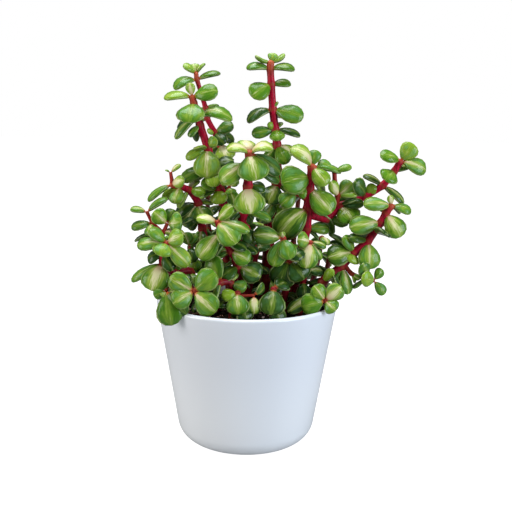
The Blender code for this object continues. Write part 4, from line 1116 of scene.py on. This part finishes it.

# the tone, from deep green, which is partly painted shade on leaves in shadow, to fresh green, and the
# cream stripe of the leaves in front, by their tips
leafLooks = {
    # the lowest tones: partly the leaves' own deep green, partly painted shade on leaves in shadow
    (0.1, 0.0): [
        (20.5, 177), (20, 172), (-12, 147), (2.5, 145.5), (54, 133.5), (53, 138.5), (68.5, 173.5),
        (65.5, 136.5), (-49, 153.5), (-74.5, 131.8), (-66, 119.5), (-49.5, 112.5), (-39.5, 84.7),
        (-16, 195.5), (-9.5, 197.5), (-46, 206), (-34.5, 197.5), (33, 201.6), (3.5, 132), (37.5, 107.5),
        (-37, 173.5), (-15.5, 171), (57.5, 161), (75.5, 158.5), (20.5, 102.3), (-36, 118), (-1.5, 209.8),
        (66, 145.5), (26, 105), (11, 167.5), (71, 161.5), (-47.5, 149.5), (-37.8, 139.5), (-9.5, 185),
    ],
    (0.2, 0.3): [
        (3.3, 137.5), (13.3, 157.3), (52.5, 122.3), (-42, 142), (-47.5, 198.5), (74, 177), (51.7, 129.3),
        (101.5, 158.7), (-29, 144.7), (18.5, 136),
    ],
    (0.3, 0.04): [
        (-44, 172), (26.2, 234.2), (-50.2, 75), (-18.5, 240.2), (-2.5, 243.5), (15, 147), (-52.5, 160.5),
        (-76.5, 140.5), (59.5, 103), (-10, 208), (28.5, 243), (-38.5, 200),
    ],
    (0.5, 0.06): [
        (24.2, 183.5), (21, 157), (17, 116), (28, 121), (43, 193), (60, 178.5), (44.7, 185.3),
        (66.7, 182.5), (88.5, 174), (84.5, 190.4), (62.7, 137.3), (89, 115.7), (91.5, 98), (-65.5, 158.3),
        (-62.3, 95.3), (0.8, 226), (34.6, 213), (1.5, 202.3), (18.8, 198.5), (-38.5, 208.8), (-20, 229),
        (-48.3, 230), (106.7, 153.5), (-65, 140), (53.5, 141.5), (-21, 111.5), (21, 171.5), (-77, 105),
        (36.5, 88.3),
    ],
    (0.5, 0.32): [
        (4.5, 172.5), (-18.5, 171.5), (-7.5, 131.3), (1, 140.5), (1.5, 119.5), (68, 172), (54.3, 152),
        (68.5, 146.8), (75, 158), (115, 180), (80.7, 115), (66.3, 142.7), (67, 97.7), (44, 103.5),
        (32.5, 135), (48.7, 121), (-43, 145), (-61.8, 151.8), (-77, 153), (-73, 129), (-51.5, 108.5),
        (-49.5, 90), (-20.7, 84.8), (-10.7, 211), (59.5, 86.5), (-32, 120.5),
    ],
    (0.5, 0.6): [
        (1.5, 151), (100.6, 136.8), (38.5, 115), (-63.7, 98.7), (62.5, 103.5),
    ],
    (0.85, 0.05): [
        (-19, 157), (82.5, 171), (106.3, 197.6), (69, 118.8), (74.7, 110.7), (-56, 160), (-45.7, 154),
        (-40.7, 186), (-58, 122.3), (-54.7, 224.2), (-42.3, 245), (-21, 199.5), (-26.8, 203.6),
        (21.8, 252.6), (3.1, 251.2), (15, 253), (11.8, 209.5), (57, 114.7), (-21.5, 168.5), (-17, 95),
    ],
    (0.75, 0.35): [
        (-27, 174), (50.5, 170), (71.5, 164.5), (-47.8, 156.8), (-42.5, 136.5), (-38.8, 115.7),
        (-9.5, 156), (-56, 94.5),
    ],
    (0.85, 0.75): [
        (-14.5, 192), (15.5, 193), (-3, 198), (28.3, 189.5), (-13.5, 185.5), (-34, 147.5), (22.5, 139.5),
        (26.5, 193.8), (53.2, 173), (92, 164.5), (-41.5, 172), (-43.8, 182.3), (-38.3, 234), (-35, 192.5),
    ],
}
lookAt = {place: look for look, places in leafLooks.items() for place in places}


def leafFinish():
    finish = Finish("variegated leaf", Coat_Weight=0.6, Coat_Roughness=0.14, Coat_IOR=1.4,
                    Specular_IOR_Level=0.12)
    across, along, upper = finish.parts(finish.attribute("blade"))
    tone, stripe, chance = finish.parts(finish.attribute("habit"))
    aside = abs(across)
    streaks = finish.noise(finish.vector(across * 5.0, along * 1.3, chance * 40.0), 2.2, 3.0)
    clouds = finish.noise(finish.vector(across * 0.9, along * 1.4, chance * 40.0), 2.0)
    # low tones mix towards the deepest green, which is partly painted shade
    green = finish.mixed(leafLook["deep"], leafLook["green"], tone.step(0.0, 0.5))
    green = finish.mixed(green, leafLook["fresh"], tone.step(0.45, 1.0))
    green = finish.mixed(green, leafLook["yellowGreen"], clouds.step(0.45, 0.75) * tone)
    # pale patches on the upper shoulders of the leaves: painted highlight
    shoulder = aside.step(0.1, 0.4) * aside.step(0.9, 0.6) * along.step(0.95, 0.7)
    paintedSheen = shoulder * clouds.step(0.65, 0.25) * upper.step(0, 0.5) * (tone + 0.2) * chance.step(0.1, 0.6)
    green = finish.mixed(green, leafLook["paintedSheen"], paintedSheen * 0.85)
    green = finish.mixed(green, leafLook["deep"], streaks.step(0.55, 0.25) * 0.35)
    # a cream stripe along the middle, wide at the leaf's base, with feathered sides
    reach = stripe * (1.3 - along) - aside + (streaks - 0.5) * 0.9
    halo = finish.mixed(green, leafLook["yellowGreen"], (reach + 0.35).step(0.0, 0.4) * (stripe + 0.3))
    cream = finish.mixed(leafLook["cream"], leafLook["creamPink"], along.step(0.5, 0.0))
    colour = finish.mixed(halo, cream, (reach + 0.02).step(0.0, 0.4) * 0.9)
    border = aside.most(along.step(0.9, 1.0))
    # a thin pale line just inside the margin: partly the leaf's own pale margin, partly painted highlight
    colour = finish.mixed(colour, leafLook["edge"], border.step(0.84, 0.94) * streaks.step(0.35, 0.6) * 0.6)
    # a dark green line where the margin turns under: painted shade
    colour = finish.mixed(colour, leafLook["rim"], border.step(0.8, 1.0) * upper.step(0.3, -0.3) * 0.6)
    # the underside darker olive: partly its own colour, partly painted shade
    colour = finish.mixed(colour, leafLook["underOliveAndShade"], upper.step(0.1, -0.5) * 0.6)
    colour = finish.mixed(colour, leafLook["base"], along.step(0.16, 0.02))
    finish.set(Base_Color=colour, Roughness=leafLook["roughness"] + clouds * 0.12)
    finish.set(Normal=finish.bump(streaks + clouds * 3, 0.25, 0.4))
    return finish


def cornersOf(node):
    # the corners of a node's mesh, in millimetres
    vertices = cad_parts[node].data.vertices
    tree = KDTree(len(vertices))
    for index, vertex in enumerate(vertices):
        tree.insert(vertex.co / mm, index)
    tree.balance()
    return tree


def asInPart(leaf, tree):
    # the leaf bent or made smaller as the part has it: most of its corners are the node's
    best, bestHits = None, 3
    for size in growth["sizes"]:
        for bend in growth["bends"]:
            changed = leaf.changed(bend, size)
            hits = sum(tree.find(corner)[2] < leafForm["meets"] for corner in changed.partCorners())
            if hits > bestHits:
                best, bestHits = changed, hits
    return best


def addLeaf(mesh, leaf, habit, layers):
    ball = bmesh.ops.create_uvsphere(
        mesh, u_segments=leafForm["sides"], v_segments=leafForm["rings"], radius=1
    )["verts"]
    point = leaf.surface()
    for vertex in ball:
        x, y, z = vertex.co
        ring = math.hypot(x, y)
        atPole = ring < 0.01
        sideways, outwards = (0, 0) if atPole else (x / ring, y / ring)
        vertex.co = point(z, sideways, outwards)
        vertex[layers[0]] = (sideways, (1 + z) / 2, outwards)
        vertex[layers[1]] = habit


def insideBox(mesh):
    # keeps the fine surface within the part's own box
    low, high = [corner / mm for corner in cadBox]
    for vertex in mesh.verts:
        for axis in range(3):
            vertex.co[axis] = min(max(vertex.co[axis], low[axis]), high[axis])


def addStem(name, lines, radii, finish):
    mesh = bmesh.new()
    layer = mesh.verts.layers.float_vector.new("wood")
    for number, points in enumerate(lines):
        twig = number > 0 and len(points) <= growth["twigJoints"]
        share = 1 if number == 0 else growth["twigShare"] if twig else growth["shootShare"]
        addTube(mesh, smoothed(points, [radius * share for radius in radii]), layer, twig)
    bmesh.ops.recalc_face_normals(mesh, faces=mesh.faces)
    finished(name + "_bark", mesh, [name], finish)


def leafHabit(leaf, chance):
    # its tone, how wide its stripe is, and a number of its own
    if leaf.look:
        tone, stripe = leaf.look
        tone += chance.uniform(-leafLook["varies"], leafLook["varies"])
        return tone, stripe * chance.uniform(*leafLook["stripeVaries"]), chance.random()
    height = (leaf.tip.z - leafLook["lowHeight"]) / (leafLook["topHeight"] - leafLook["lowHeight"])
    young = max(0, 1 - leaf.length() / leafLook["youngLength"])
    tone = leafLook["toneLow"] + leafLook["toneByHeight"] * height + leafLook["toneByYouth"] * young
    tone = min(1, max(0, tone + chance.uniform(*leafLook["toneDraw"])))
    kind = chance.random() - leafLook["plain"]
    stripe = 0.0
    if kind >= 0:
        widths = leafLook["stripe" if kind < leafLook["striped"] else "wideStripe"]
        stripe = chance.uniform(*widths)
    return tone, stripe, chance.random()


def addLeaves(name, joints, finish, chance):
    mesh = bmesh.new()
    layers = [mesh.verts.layers.float_vector.new(key) for key in ("blade", "habit")]
    tree = cornersOf(name)
    missing = 0
    for leaves in joints:
        for leaf in leaves:
            found = asInPart(leaf, tree)
            if found:
                addLeaf(mesh, found, leafHabit(found, chance), layers)
            else:
                missing += 1
    insideBox(mesh)
    finished(name + "_leaves", mesh, [name], finish)
    return missing


stemPaint = stemFinish("crimson stem", "crimson", "crimsonDark")
# the stem finish again with darker browns, for the stems at the back and sides: painted shade
shadedStemPaint = stemFinish("stem in painted shade", "stemInPaintedShade", "stemInDeepPaintedShade")
leafPaint = leafFinish()
chance = random.Random(leafLook["seed"])
for name, (lines, joints, radii) in stemPlans().items():
    addStem(name, lines, radii, shadedStemPaint if name in grownStems else stemPaint)
    missing = addLeaves(name, joints, leafPaint, chance)
    print(f"{name}: {sum(len(leaves) for leaves in joints)} leaves, {missing} not in the part")
